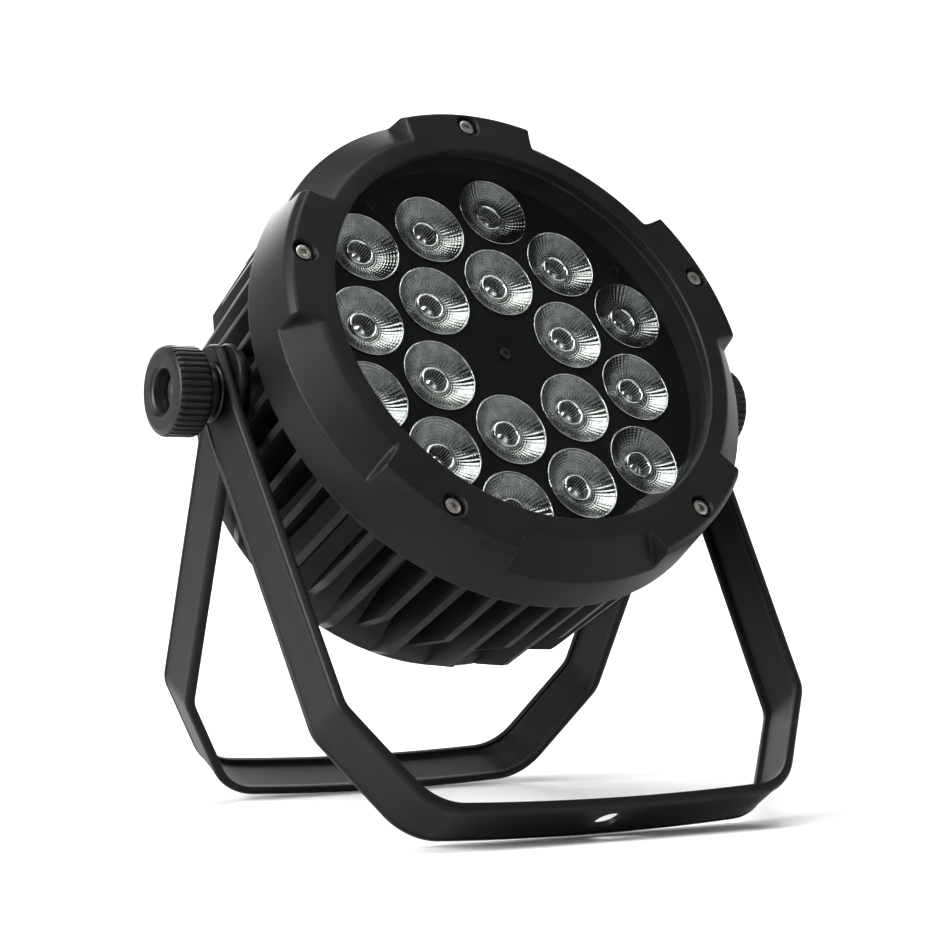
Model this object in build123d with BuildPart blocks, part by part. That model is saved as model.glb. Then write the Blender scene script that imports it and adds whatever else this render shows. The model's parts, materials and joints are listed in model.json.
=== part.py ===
from build123d import *
import os
from math import acos, atan2, cos, degrees, hypot, radians, sin, sqrt, tan

# LED par can light: a finned die-cast head hung between two splayed brackets that also make its stand.
# Millimetres. X runs along the pivot, -Y is the side that the light points to, +Z is up.
# The origin is on the floor, under the middle of the object's bounding box.

os.makedirs("parts", exist_ok=True)

# ---------------------------------------------------------------- driving dimensions
# Stand and pose
PIVOT_HEIGHT = 197.6  # pivot axis above the floor
HEAD_TILT = 28.7  # beam above the horizon, degrees
BRACKET_WIDTH = 30.0  # width of the pressed strip
BRACKET_WALL = 3.0  # thickness of its web
BRACKET_RIM = 3.0  # thickness of the turned-in rims
BRACKET_EDGE_R = 2.4  # rounding of the outer edges
EAR_RISE = 22.0  # how far the ears pass the pivot
EAR_CORNER_R = 11.0
EAR_FLAT = 20.0  # how far below the pivot the ears stay square to it
KNEE_R = 18.0  # bend between leg and diagonal
FOOT_CORNER_R = 30.0  # bend between diagonal and bottom bar
BAR_HOLE_R = 6.5  # clamp hole in each bottom bar
FRONT_EAR_X = 135.4  # outer face of the front bracket at the pivot
FRONT_KNEE = (127.7, 172.8)  # outer face at the knee: x, distance from the pivot
FRONT_FOOT = (96.1, 224.8)  # outer face where the bottom bar begins
FRONT_BOW = 3.2  # how far the bottom bar bulges
REAR_KNEE = (120.9, 157.4)
REAR_FOOT = (88.1, 208.9)
REAR_BOW = 3.2

# Pivot stack, from the head outwards
STUD_R = 5.0
RUNNING_GAP = 0.06  # radial, between the stud and what turns on it
EAR_GAP = 0.3  # between the rear ear's face and the front bracket's rims
RIM_DEPTH = 4.6  # rims, measured from the outer face
BOSS_R = 18.0
BOSS_STEP = 2.4  # how far the boss's nose stands out
NOSE_R = 11.0
FRICTION_DISC = 1.5
INSERT_R = 8.0
INSERT_LENGTH = 20.0
WASHER_R = 14.0
WASHER = 1.6

# Knobs
KNOB_R = 21.0
KNOB_RIB_HEIGHT = 0.8
KNOB_RIBS = 40
KNOB_RIB_R = 1.3
KNOB_LENGTH = 17.6
KNOB_CHAMFER = 1.8
NECK_R = 11.5
NECK_LENGTH = 6.5
KNOB_WELL_R = 9.8
KNOB_WELL_DEPTH = 11.0
STUD_HEAD_R = 8.4
STUD_HEAD = 3.4
SOCKET_DEPTH_SHARE = 0.6  # depth of a screw's hexagon socket, as a share of its head
STUD_ENGAGEMENT = 18.0  # length of the stud inside the insert

# Bezel: depths are measured along the beam, forward of the pivot
BEZEL_FACE = 67.4
OPENING_R = 100.5
BEZEL_LIP = 5.0
LUG_FACE_R = 121.8
LUG_R = 124.3
LUG_CHAMFER = 3.8
BAND_FRONT_R = 125.6
BAND_FRONT = 52.8
BAND_REAR_R = 127.8
BAND_REAR = 31.0
RECESS_R = 110.0  # flat face's edge between two lugs
LUGS = 5
RECESS_HALF_WIDTH = 34.4  # at the flat face's edge
RECESS_FLARE = 28.5  # degrees, plan angle of a recess's end walls
BEZEL_SCREW_CIRCLE_R = 115.8
COUNTERBORE_R = 5.75
BEZEL_SCREW_R = 2.0
BEZEL_SCREW_HEAD_R = 3.7
BEZEL_SCREW_HEAD = 2.6
BEZEL_SCREW_SINK = 1.7  # head's top below the face
BEZEL_SCREW_LENGTH = 20.0
SKIRT_GAP = 0.5  # between the bezel's skirt and the housing

# Front window
GLASS = 4.0
GLASS_R = 108.0
GLASS_GAP = 0.6
GLASS_GASKET = 2.0

# Housing
CHAMBER_R = 104.5
CHAMBER_WALL = 4.0
FLANGE_FACE = 50.0
FLANGE = 6.0
FLANGE_R = 121.0
SEAL_R = 110.2
SEAL_WIDTH = 2.0
SEAL_DEPTH = 1.6
FIN_PAIRS = 24  # a long and a short fin make a pair
FIN = 3.6
FIN_FRONT_R = 125.0
LONG_FIN_CORNER = (121.5, -47.0)  # where the outer edge turns in, as radius and place along the beam
LONG_FIN_HEEL = (111.5, -66.0)
SHORT_FIN_CORNER = (123.6, -19.5)
SHORT_FIN_HEEL = (109.0, -54.5)
REAR_FACE = -69.0
REAR_DISC_R = 110.0
REAR_DISC_RIM = 10.0
SPREADER_FRONT = 18.0
SPREADER = 6.0
CAVITY_R = 92.5
CAVITY_WALL = 4.5
WAIST_FRONT = -5.0
WAIST_REAR = -36.0
REAR_WALL = 6.0
REAR_OPENING_R = 80.0
WIRE_HOLE_R = 4.0

# Light engine
LED_PITCH = 42.0
LED_TURN = 17.9  # degrees, turn of the hexagonal pattern
LENS_FRONT = 44.0
LENS_RIM = 3.0
LENS_R = 18.75
LENS_STEP = 0.45  # how far the flat rim passes the cone
LENS_BASE_R = 9.0
LENS_BASE = 1.5
LENS_WELL_R = 5.6
LENS_WELL = 7.0
LENS_CUP_R = 4.4
LENS_CUP = 4.0
HOLDER_R = 10.5
HOLDER_BORE_R = 7.5
HOLDER = 4.0
THERMAL_PAD = 0.5
BOARD = 2.0
BOARD_R = 101.0
LED_SIDE = 7.0
LED_HEIGHT = 1.4
LED_DOME_R = 2.8
MASK = 1.5
MASK_BACK = 41.2
MASK_GAP = 0.3
LENS_HOLE_GAP = 0.2
MASK_SCREW_CIRCLE_R = 96.5
MASK_SCREW_TURN = 33.0
MASK_SCREWS = 4
PILLAR_R = 3.2
SMALL_SCREW_R = 1.5
SMALL_HEAD_R = 2.8
SMALL_HEAD = 1.8
BOARD_SCREW_CIRCLE_R = 60.0
BOARD_SCREWS = 6

# Rear cover and what it carries
COVER_GASKET = 1.0
COVER = 4.5
COVER_R = 92.0
COVER_SCREW_CIRCLE_R = 86.5
COVER_SCREWS = 8
COVER_SCREW_R = 2.0
COVER_SCREW_HEAD_R = 3.6
COVER_SCREW_HEAD = 2.4
COVER_SCREW_LENGTH = 10.0
HOLE_GAP = 0.1  # radial, around screws and through-parts
WINDOW = (60.0, 24.0)
WINDOW_V = 42.0
WINDOW_SHEET = 1.5
WINDOW_LIP = 2.5
BUTTONS = ("menu", "down", "up", "enter")
BUTTON_PITCH = 20.0
BUTTON_V = 14.0
BUTTON_R = 4.6
BUTTON_GAP = 0.08
BUTTON_FLANGE_R = 5.8
BUTTON_FLANGE = 1.0
BUTTON_PROUD = 2.4
BUTTON_TRAVEL = 1.0
SWITCH_SIDE = 6.0
CONTROL_BOARD = (96.0, 60.0)
CONTROL_BOARD_V = 31.0
CONTROL_BOARD_GAP = 6.0  # cover's inner face to the board
CIRCUIT_BOARD = 1.6
DISPLAY_MARGIN = 4.0
SOCKET_PITCH = 32.0
SOCKET_V = -30.0
SOCKET_FLANGE = 26.0
SOCKET_FLANGE_THICK = 2.5
SOCKET_R = 10.0
SOCKET_BACK = 20.0
SOCKET_THREAD_R = 10.6
SOCKET_THREAD = 9.0
SOCKET_SCREW_OFFSET = 9.8
CAP_R = 13.0
CAP_END = 2.4
CAP_SCREW_GAP = 0.3
VENT_V = -62.0
VENT_HEX_R = 7.5
VENT_HEIGHT = 5.0
VENT_THREAD_R = 5.0
VENT_THREAD = 8.0
EYE_V = 70.0
EYE_BASE_WIDTH = 12.0
EYE_SCREW_MARGIN = 0.5  # beside the screw heads
EYE_PLATE = 4.0
EYE_WIDTH = 22.0
EYE_REACH = 20.0
EYE_LUG = 4.0  # thickness of the lug with the hole
EYE_HOLE_R = 5.0

# Power supply
SUPPLY = (118.0, 58.0, 30.0)
SUPPLY_V = 28.0
SUPPLY_STANDOFF = 6.0
SUPPLY_CASE = 1.5
SUPPLY_SCREW_SPAN = (106.0, 46.0)


# ---------------------------------------------------------------- derived places
def bracket_lean(foot, bow):
    """Angle between a bracket and the vertical that puts its rounded lower edge on the floor."""
    reach = foot[1] + bow - BRACKET_EDGE_R
    half = BRACKET_WIDTH / 2 - BRACKET_EDGE_R
    return degrees(atan2(half, reach) + acos((PIVOT_HEIGHT - BRACKET_EDGE_R) / hypot(reach, half)))


FRONT_LEAN = bracket_lean(FRONT_FOOT, FRONT_BOW)
REAR_LEAN = bracket_lean(REAR_FOOT, REAR_BOW)
REAR_EAR_X = FRONT_EAR_X - RIM_DEPTH - EAR_GAP
NOSE_X = REAR_EAR_X - BRACKET_WALL - FRICTION_DISC
WASHER_X = FRONT_EAR_X
NECK_X = WASHER_X + WASHER
KNOB_X = NECK_X + NECK_LENGTH
KNOB_END_X = KNOB_X + KNOB_LENGTH

GLASS_FRONT = BEZEL_FACE - BEZEL_LIP
GLASS_REAR = GLASS_FRONT - GLASS
COLLAR_FRONT = GLASS_REAR - GLASS_GASKET
COLLAR_R = CHAMBER_R + CHAMBER_WALL - HOLE_GAP * 3
CAVITY_FRONT = SPREADER_FRONT - SPREADER
CAVITY_REAR = REAR_FACE + REAR_WALL
BOARD_BACK = SPREADER_FRONT + THERMAL_PAD
BOARD_FRONT = BOARD_BACK + BOARD
COVER_FRONT = REAR_FACE - COVER_GASKET
COVER_BACK = COVER_FRONT - COVER
CONTROL_BOARD_BACK = COVER_FRONT + CONTROL_BOARD_GAP
SOCKET_BACK_FACE = COVER_BACK - SOCKET_FLANGE_THICK
CAP_LENGTH = SOCKET_THREAD + HOLE_GAP + CAP_END
EYE_BACK = COVER_BACK - EYE_PLATE - EYE_REACH
EYE_SCREW_SPAN = EYE_WIDTH + 2 * (SMALL_HEAD_R + EYE_SCREW_MARGIN)
EYE_BASE_LENGTH = EYE_SCREW_SPAN + 2 * (SMALL_HEAD_R + EYE_SCREW_MARGIN)

FRONT_REACH = (
    (FRONT_FOOT[1] + FRONT_BOW - BRACKET_EDGE_R) * sin(radians(FRONT_LEAN))
    + (BRACKET_WIDTH / 2 - BRACKET_EDGE_R) * cos(radians(FRONT_LEAN))
    + BRACKET_EDGE_R
)
REAR_REACH = -EYE_BACK * cos(radians(HEAD_TILT)) + (EYE_V + EYE_LUG / 2) * sin(radians(HEAD_TILT))
PIVOT = Vector(0, (FRONT_REACH - REAR_REACH) / 2, PIVOT_HEIGHT)

# HEAD looks along the beam: local x is X, local y is up across the head, local z is forward.
HEAD = Plane(PIVOT, x_dir=(1, 0, 0), z_dir=(0, -cos(radians(HEAD_TILT)), sin(radians(HEAD_TILT))))
# SECTION is the half-plane that turned profiles are drawn in: local x is radius, local y is depth.
SECTION = Plane(PIVOT, x_dir=(1, 0, 0), z_dir=-HEAD.y_dir)
BEAM = Axis(PIVOT, HEAD.z_dir)


def rear_plane(depth):
    """Plane across the head seen from behind, local y up: extruding from it goes rearwards."""
    return Plane(PIVOT + HEAD.z_dir * depth, x_dir=(-1, 0, 0), z_dir=-HEAD.z_dir)


def ear_plane(side, distance):
    """Plane across the pivot axis: extruding from it goes outwards on that side, -1 left or 1 right."""
    return Plane(PIVOT + Vector(side * distance, 0, 0), x_dir=(0, 1, 0), z_dir=(side, 0, 0))


def turned(*profile, mode=Mode.ADD):
    """Ring or disc turned about the beam axis from (radius, depth) corners."""
    with BuildSketch(SECTION) as section:
        with BuildLine():
            Polyline(*profile, close=True)
        make_face()
    revolve(section.sketch, axis=BEAM, mode=mode)


def led_places():
    """Centres of the LEDs: a hexagonal pattern of two rings with its middle left free."""
    first = (cos(radians(LED_TURN)), sin(radians(LED_TURN)))
    second = (cos(radians(LED_TURN + 60)), sin(radians(LED_TURN + 60)))
    steps = [(i, j) for i in range(-2, 3) for j in range(-2, 3) if abs(i + j) <= 2 and (i, j) != (0, 0)]
    return [
        (LED_PITCH * (i * first[0] + j * second[0]), LED_PITCH * (i * first[1] + j * second[1]))
        for i, j in steps
    ]


def screws(plane, places, head_r, head, shank_r, length, socket_r):
    """Screws whose heads stand on a plane and whose shanks run down into it, each with a hexagon socket."""
    with BuildSketch(plane) as heads:
        with Locations(*places):
            Circle(head_r)
    extrude(heads.sketch, amount=head)
    with BuildSketch(plane) as shanks:
        with Locations(*places):
            Circle(shank_r)
    extrude(shanks.sketch, amount=-length)
    with BuildSketch(plane.offset(head)) as sockets:
        with Locations(*places):
            RegularPolygon(socket_r, 6)
    extrude(sockets.sketch, amount=-SOCKET_DEPTH_SHARE * head, mode=Mode.SUBTRACT)


def around(count, radius, turn=0.0):
    """Points spaced evenly on a circle."""
    angles = [radians(turn + 360 * k / count) for k in range(count)]
    return [(radius * cos(angle), radius * sin(angle)) for angle in angles]


# ---------------------------------------------------------------- brackets
def pressed_bracket(lean, ear_x, knee, foot, bow):
    """Pressed strip bent into a U, with rims turned in along both edges and rounded ears."""
    plane = Plane(PIVOT, x_dir=(1, 0, 0), z_dir=(0, -cos(radians(lean)), sin(radians(lean))))
    top = 2 * EAR_RISE
    right = [(ear_x, top), (ear_x, -EAR_FLAT), (knee[0], -knee[1]), (foot[0], -foot[1])]
    left = [(-x, y) for x, y in reversed(right)]
    with BuildSketch(mode=Mode.PRIVATE) as outline:
        with BuildLine():
            Polyline(*left, *right)
            ThreePointArc((foot[0], -foot[1]), (0, -foot[1] - bow), (-foot[0], -foot[1]))
        make_face()
        fillet([v for v in outline.vertices() if abs(v.Y + knee[1]) < 1], KNEE_R)
        fillet([v for v in outline.vertices() if abs(v.Y + foot[1]) < 1], FOOT_CORNER_R)
    # The solid block of the outline gets its outer edges rounded before it is hollowed.
    with BuildSketch(plane.offset(-BRACKET_WIDTH / 2)) as block:
        add(outline.sketch)
    extrude(block.sketch, amount=BRACKET_WIDTH)
    rims = [e for e in edges() if abs(abs(plane.to_local_coords(e.center()).Z) - BRACKET_WIDTH / 2) < 0.01]
    fillet(rims, BRACKET_EDGE_R)
    with BuildSketch(plane.offset(-BRACKET_WIDTH / 2)) as within_rims:
        offset(outline.sketch, amount=-RIM_DEPTH)
    extrude(within_rims.sketch, amount=BRACKET_WIDTH, mode=Mode.SUBTRACT)
    with BuildSketch(plane.offset(BRACKET_RIM - BRACKET_WIDTH / 2)) as within_web:
        offset(outline.sketch, amount=-BRACKET_WALL)
    extrude(within_web.sketch, amount=BRACKET_WIDTH - 2 * BRACKET_RIM, mode=Mode.SUBTRACT)
    # Ears: the strip seen along X, with its upper corners rounded.
    side = Plane(PIVOT - Vector(2 * ear_x, 0, 0), x_dir=plane.z_dir, z_dir=(-1, 0, 0))
    length = EAR_RISE + foot[1] + 2 * bow
    with BuildSketch(side) as strip:
        with Locations((0, EAR_RISE - length / 2)):
            Rectangle(2 * BRACKET_WIDTH, length)
        with Locations((0, EAR_RISE - length / 2)):
            Rectangle(BRACKET_WIDTH, length, mode=Mode.INTERSECT)
        fillet(strip.vertices().group_by(Axis.Y)[-1], EAR_CORNER_R)
    extrude(strip.sketch, amount=-4 * ear_x, mode=Mode.INTERSECT)
    # Pivot holes and the clamp hole in the middle of the bar.
    with BuildSketch(ear_plane(1, 0)) as pivot_hole:
        Circle(STUD_R + RUNNING_GAP)
    extrude(pivot_hole.sketch, amount=2 * ear_x, both=True, mode=Mode.SUBTRACT)
    with BuildSketch(Plane(PIVOT, x_dir=(1, 0, 0), z_dir=-plane.y_dir)) as bar_hole:
        Circle(BAR_HOLE_R)
    extrude(bar_hole.sketch, amount=foot[1] + 2 * bow, mode=Mode.SUBTRACT)


with BuildPart() as front_bracket:
    pressed_bracket(FRONT_LEAN, FRONT_EAR_X, FRONT_KNEE, FRONT_FOOT, FRONT_BOW)
front_bracket.part.label = "front_bracket"
export_step(front_bracket.part, "parts/front_bracket.step")

with BuildPart() as rear_bracket:
    pressed_bracket(-REAR_LEAN, REAR_EAR_X, REAR_KNEE, REAR_FOOT, REAR_BOW)
rear_bracket.part.label = "rear_bracket"
export_step(rear_bracket.part, "parts/rear_bracket.step")


# ---------------------------------------------------------------- front bezel and window
def recess_sides(depth_plane):
    """Plan of the gaps between lugs, on a plane across the head: five trapeziums that flare outwards."""
    reach = BAND_REAR_R + 10
    start = sqrt(RECESS_R**2 - RECESS_HALF_WIDTH**2)
    half_reach = RECESS_HALF_WIDTH + (reach - start) * tan(radians(RECESS_FLARE))
    with BuildSketch(depth_plane) as plan:
        for turn in [90 + 360 / LUGS * (k + 0.5) for k in range(LUGS)]:
            with BuildSketch(mode=Mode.PRIVATE) as gap:
                with BuildLine():
                    Polyline(
                        (0, -RECESS_HALF_WIDTH), (start, -RECESS_HALF_WIDTH), (reach, -half_reach),
                        (reach, half_reach), (start, RECESS_HALF_WIDTH), (0, RECESS_HALF_WIDTH),
                        close=True,
                    )
                make_face()
            add(gap.sketch.rotate(Axis.Z, turn))
    return plan.sketch


with BuildPart() as lug_gaps:
    turned(
        (RECESS_R, BEZEL_FACE), (RECESS_R, BEZEL_FACE + 5), (BAND_REAR_R + 5, BEZEL_FACE + 5),
        (BAND_REAR_R + 5, BAND_FRONT), (BAND_FRONT_R, BAND_FRONT),
    )
    sides = recess_sides(HEAD.offset(BAND_FRONT - 1))
    extrude(sides, amount=BEZEL_FACE - BAND_FRONT + 10, mode=Mode.INTERSECT)

BEZEL_SCREWS = around(LUGS, BEZEL_SCREW_CIRCLE_R, 90)
BEZEL_SCREW_SEAT = BEZEL_FACE - BEZEL_SCREW_SINK - BEZEL_SCREW_HEAD
with BuildPart() as front_bezel:
    turned(
        (OPENING_R, GLASS_FRONT), (OPENING_R, BEZEL_FACE), (LUG_FACE_R, BEZEL_FACE),
        (LUG_R, BEZEL_FACE - LUG_CHAMFER), (BAND_FRONT_R, BAND_FRONT), (BAND_REAR_R, BAND_REAR),
        (FLANGE_R + SKIRT_GAP, BAND_REAR), (FLANGE_R + SKIRT_GAP, FLANGE_FACE),
        (GLASS_R + GLASS_GAP, FLANGE_FACE), (GLASS_R + GLASS_GAP, GLASS_FRONT),
    )
    add(lug_gaps.part, mode=Mode.SUBTRACT)
    with BuildSketch(HEAD.offset(BEZEL_FACE)):
        with Locations(*BEZEL_SCREWS):
            Circle(COUNTERBORE_R)
    extrude(amount=BEZEL_SCREW_SEAT - BEZEL_FACE, mode=Mode.SUBTRACT)
    with BuildSketch(HEAD.offset(BEZEL_FACE)):
        with Locations(*BEZEL_SCREWS):
            Circle(BEZEL_SCREW_R + HOLE_GAP)
    extrude(amount=FLANGE_FACE - BEZEL_FACE, mode=Mode.SUBTRACT)
front_bezel.part.label = "front_bezel"
export_step(front_bezel.part, "parts/front_bezel.step")

with BuildPart() as bezel_screws:
    screws(HEAD.offset(BEZEL_SCREW_SEAT), BEZEL_SCREWS, BEZEL_SCREW_HEAD_R, BEZEL_SCREW_HEAD, BEZEL_SCREW_R,
           BEZEL_SCREW_LENGTH, BEZEL_SCREW_R)
bezel_screws.part.label = "bezel_screws"
export_step(bezel_screws.part, "parts/bezel_screws.step")

with BuildPart() as front_glass:
    turned((0, GLASS_REAR), (GLASS_R, GLASS_REAR), (GLASS_R, GLASS_FRONT), (0, GLASS_FRONT))
front_glass.part.label = "front_glass"
export_step(front_glass.part, "parts/front_glass.step")

with BuildPart() as glass_gasket:
    turned(
        (CHAMBER_R, COLLAR_FRONT), (COLLAR_R, COLLAR_FRONT), (COLLAR_R, GLASS_REAR), (CHAMBER_R, GLASS_REAR),
    )
glass_gasket.part.label = "glass_gasket"
export_step(glass_gasket.part, "parts/glass_gasket.step")

with BuildPart() as housing_seal:
    turned(
        (SEAL_R, FLANGE_FACE - SEAL_DEPTH), (SEAL_R + SEAL_WIDTH, FLANGE_FACE - SEAL_DEPTH),
        (SEAL_R + SEAL_WIDTH, FLANGE_FACE), (SEAL_R, FLANGE_FACE),
    )
housing_seal.part.label = "housing_seal"
export_step(housing_seal.part, "parts/housing_seal.step")


# ---------------------------------------------------------------- housing
FLOOR_FRONT_R = CHAMBER_R + CHAMBER_WALL
FLOOR_WAIST_R = CAVITY_R + CAVITY_WALL
FLANGE_BACK = FLANGE_FACE - FLANGE
COVER_SCREW_PLACES = around(COVER_SCREWS, COVER_SCREW_CIRCLE_R, 180 / COVER_SCREWS)
SUPPLY_SCREW_PLACES = [
    (x * SUPPLY_SCREW_SPAN[0] / 2, SUPPLY_V + y * SUPPLY_SCREW_SPAN[1] / 2) for x in (-1, 1) for y in (-1, 1)
]
MASK_SCREW_PLACES = [(0, 0)] + around(MASK_SCREWS, MASK_SCREW_CIRCLE_R, MASK_SCREW_TURN)
BOARD_SCREW_PLACES = around(BOARD_SCREWS, BOARD_SCREW_CIRCLE_R, LED_TURN)
with BuildPart() as heatsink_housing:
    # Short and long fins take turns round the housing, and each ends in a heel that slopes in.
    for turn, corner, heel in (
        (0, SHORT_FIN_CORNER, SHORT_FIN_HEEL), (180 / FIN_PAIRS, LONG_FIN_CORNER, LONG_FIN_HEEL)
    ):
        with BuildPart():
            with BuildSketch(HEAD.offset(REAR_FACE)):
                Circle(FLOOR_WAIST_R)
                with PolarLocations(FIN_FRONT_R / 2, FIN_PAIRS, start_angle=turn):
                    Rectangle(FIN_FRONT_R + 10, FIN)
            extrude(amount=FLANGE_FACE - REAR_FACE)
            turned(
                (0, FLANGE_FACE), (FLANGE_R, FLANGE_FACE), (FLANGE_R, BAND_REAR - SKIRT_GAP),
                (FIN_FRONT_R, BAND_REAR - SKIRT_GAP), corner, heel,
                (FLOOR_WAIST_R, heel[1] - (heel[0] - FLOOR_WAIST_R)), (0, REAR_FACE),
                mode=Mode.INTERSECT,
            )
    turned(
        (0, COLLAR_FRONT), (COLLAR_R, COLLAR_FRONT), (COLLAR_R, FLANGE_FACE), (FLANGE_R, FLANGE_FACE),
        (FLANGE_R, FLANGE_BACK), (FLOOR_FRONT_R, FLANGE_BACK), (FLOOR_FRONT_R, CAVITY_FRONT),
        (FLOOR_WAIST_R, WAIST_FRONT), (FLOOR_WAIST_R, WAIST_REAR), (REAR_DISC_R, REAR_FACE + REAR_DISC_RIM),
        (REAR_DISC_R, REAR_FACE), (0, REAR_FACE),
    )
    # Pivot bosses stand out of the fins on both sides.
    for side in (-1, 1):
        with BuildSketch(ear_plane(side, CAVITY_R)):
            Circle(BOSS_R)
        extrude(amount=NOSE_X - BOSS_STEP - CAVITY_R)
        with BuildSketch(ear_plane(side, CAVITY_R)):
            Circle(NOSE_R)
        extrude(amount=NOSE_X - CAVITY_R)
    # Front chamber for the lenses, rear cavity for the electronics, and the opening in the rear wall.
    turned((0, SPREADER_FRONT), (CHAMBER_R, SPREADER_FRONT), (CHAMBER_R, COLLAR_FRONT), (0, COLLAR_FRONT),
           mode=Mode.SUBTRACT)
    turned((0, CAVITY_REAR), (CAVITY_R, CAVITY_REAR), (CAVITY_R, CAVITY_FRONT), (0, CAVITY_FRONT),
           mode=Mode.SUBTRACT)
    turned((0, REAR_FACE), (REAR_OPENING_R, REAR_FACE), (REAR_OPENING_R, CAVITY_REAR), (0, CAVITY_REAR),
           mode=Mode.SUBTRACT)
    turned(
        (SEAL_R, FLANGE_FACE - SEAL_DEPTH), (SEAL_R + SEAL_WIDTH, FLANGE_FACE - SEAL_DEPTH),
        (SEAL_R + SEAL_WIDTH, FLANGE_FACE), (SEAL_R, FLANGE_FACE),
        mode=Mode.SUBTRACT,
    )
    # Bosses under the bezel screws, then all the tapped holes.
    with BuildSketch(HEAD.offset(FLANGE_BACK)):
        with Locations(*BEZEL_SCREWS):
            Circle(BEZEL_SCREW_R * 2.5)
    extrude(amount=BEZEL_SCREW_SEAT - BEZEL_SCREW_LENGTH - FLANGE_BACK)
    with BuildSketch(HEAD.offset(FLANGE_FACE)):
        with Locations(*BEZEL_SCREWS):
            Circle(BEZEL_SCREW_R + HOLE_GAP)
    extrude(amount=BEZEL_SCREW_SEAT - BEZEL_SCREW_LENGTH - FLANGE_FACE, mode=Mode.SUBTRACT)
    with BuildSketch(rear_plane(REAR_FACE)):
        with Locations(*COVER_SCREW_PLACES):
            Circle(COVER_SCREW_R + HOLE_GAP)
    extrude(amount=-REAR_WALL, mode=Mode.SUBTRACT)
    with BuildSketch(HEAD.offset(SPREADER_FRONT)):
        with Locations(*BOARD_SCREW_PLACES, *SUPPLY_SCREW_PLACES):
            Circle(SMALL_SCREW_R + HOLE_GAP)
        with Locations((0, -BOARD_SCREW_CIRCLE_R / 2)):
            Circle(WIRE_HOLE_R)
    extrude(amount=-SPREADER, mode=Mode.SUBTRACT)
    for side in (-1, 1):
        with BuildSketch(ear_plane(side, NOSE_X)):
            Circle(INSERT_R)
        extrude(amount=-INSERT_LENGTH, mode=Mode.SUBTRACT)
heatsink_housing.part.label = "heatsink_housing"
export_step(heatsink_housing.part, "parts/heatsink_housing.step")


# ---------------------------------------------------------------- light engine
LEDS = led_places()
with BuildPart() as thermal_pad:
    with BuildSketch(HEAD.offset(SPREADER_FRONT)):
        Circle(BOARD_R - 1)
        with Locations(*BOARD_SCREW_PLACES):
            Circle(SMALL_SCREW_R + HOLE_GAP, mode=Mode.SUBTRACT)
        with Locations((0, -BOARD_SCREW_CIRCLE_R / 2)):
            Circle(WIRE_HOLE_R, mode=Mode.SUBTRACT)
    extrude(amount=THERMAL_PAD)
thermal_pad.part.label = "thermal_pad"
export_step(thermal_pad.part, "parts/thermal_pad.step")

with BuildPart() as led_board:
    with BuildSketch(HEAD.offset(BOARD_BACK)):
        Circle(BOARD_R)
        with Locations(*BOARD_SCREW_PLACES):
            Circle(SMALL_SCREW_R + HOLE_GAP, mode=Mode.SUBTRACT)
        with Locations((0, -BOARD_SCREW_CIRCLE_R / 2)):
            Circle(WIRE_HOLE_R, mode=Mode.SUBTRACT)
    extrude(amount=BOARD)
led_board.part.label = "led_board"
export_step(led_board.part, "parts/led_board.step")

with BuildPart() as led_board_screws:
    screws(HEAD.offset(BOARD_FRONT), BOARD_SCREW_PLACES, SMALL_HEAD_R, SMALL_HEAD, SMALL_SCREW_R,
           BOARD + THERMAL_PAD + SPREADER / 2, SMALL_SCREW_R)
led_board_screws.part.label = "led_board_screws"
export_step(led_board_screws.part, "parts/led_board_screws.step")

with BuildPart() as led_emitters:
    with BuildSketch(HEAD.offset(BOARD_FRONT)):
        with Locations(*LEDS):
            Rectangle(LED_SIDE, LED_SIDE)
    extrude(amount=LED_HEIGHT)
    with BuildSketch(HEAD.offset(BOARD_FRONT)):
        with Locations(*LEDS):
            Circle(LED_DOME_R)
    extrude(amount=LED_HEIGHT + LED_DOME_R / 2)
led_emitters.part.label = "led_emitters"
export_step(led_emitters.part, "parts/led_emitters.step")

HOLDER_FRONT = BOARD_FRONT + HOLDER
with BuildPart() as lens_holders:
    with BuildSketch(HEAD.offset(BOARD_FRONT)):
        with Locations(*LEDS):
            Circle(HOLDER_R)
            Circle(HOLDER_BORE_R, mode=Mode.SUBTRACT)
    extrude(amount=HOLDER)
lens_holders.part.label = "lens_holders"
export_step(lens_holders.part, "parts/lens_holders.step")

# One lens, turned about its own axis, then set at every LED.
with BuildPart() as lens:
    turned(
        (0, HOLDER_FRONT), (LENS_BASE_R, HOLDER_FRONT), (LENS_BASE_R, HOLDER_FRONT + LENS_BASE),
        (LENS_R - LENS_STEP, LENS_FRONT - LENS_RIM), (LENS_R, LENS_FRONT - LENS_RIM), (LENS_R, LENS_FRONT),
        (LENS_WELL_R, LENS_FRONT), (LENS_WELL_R, LENS_FRONT - LENS_WELL), (0, LENS_FRONT - LENS_WELL),
    )
    turned((0, HOLDER_FRONT), (LENS_CUP_R, HOLDER_FRONT), (LENS_CUP_R, HOLDER_FRONT + LENS_CUP),
           (0, HOLDER_FRONT + LENS_CUP), mode=Mode.SUBTRACT)
with BuildPart() as lenses:
    for across, up in LEDS:
        add(lens.part.moved(Location(HEAD.x_dir * across + HEAD.y_dir * up)))
lenses.part.label = "lenses"
export_step(lenses.part, "parts/lenses.step")

with BuildPart() as lens_mask:
    with BuildSketch(HEAD.offset(MASK_BACK)):
        Circle(CHAMBER_R - MASK_GAP)
        with Locations(*LEDS):
            Circle(LENS_R + LENS_HOLE_GAP, mode=Mode.SUBTRACT)
        with Locations(*MASK_SCREW_PLACES):
            Circle(SMALL_SCREW_R + HOLE_GAP, mode=Mode.SUBTRACT)
    extrude(amount=MASK)
lens_mask.part.label = "lens_mask"
export_step(lens_mask.part, "parts/lens_mask.step")

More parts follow.
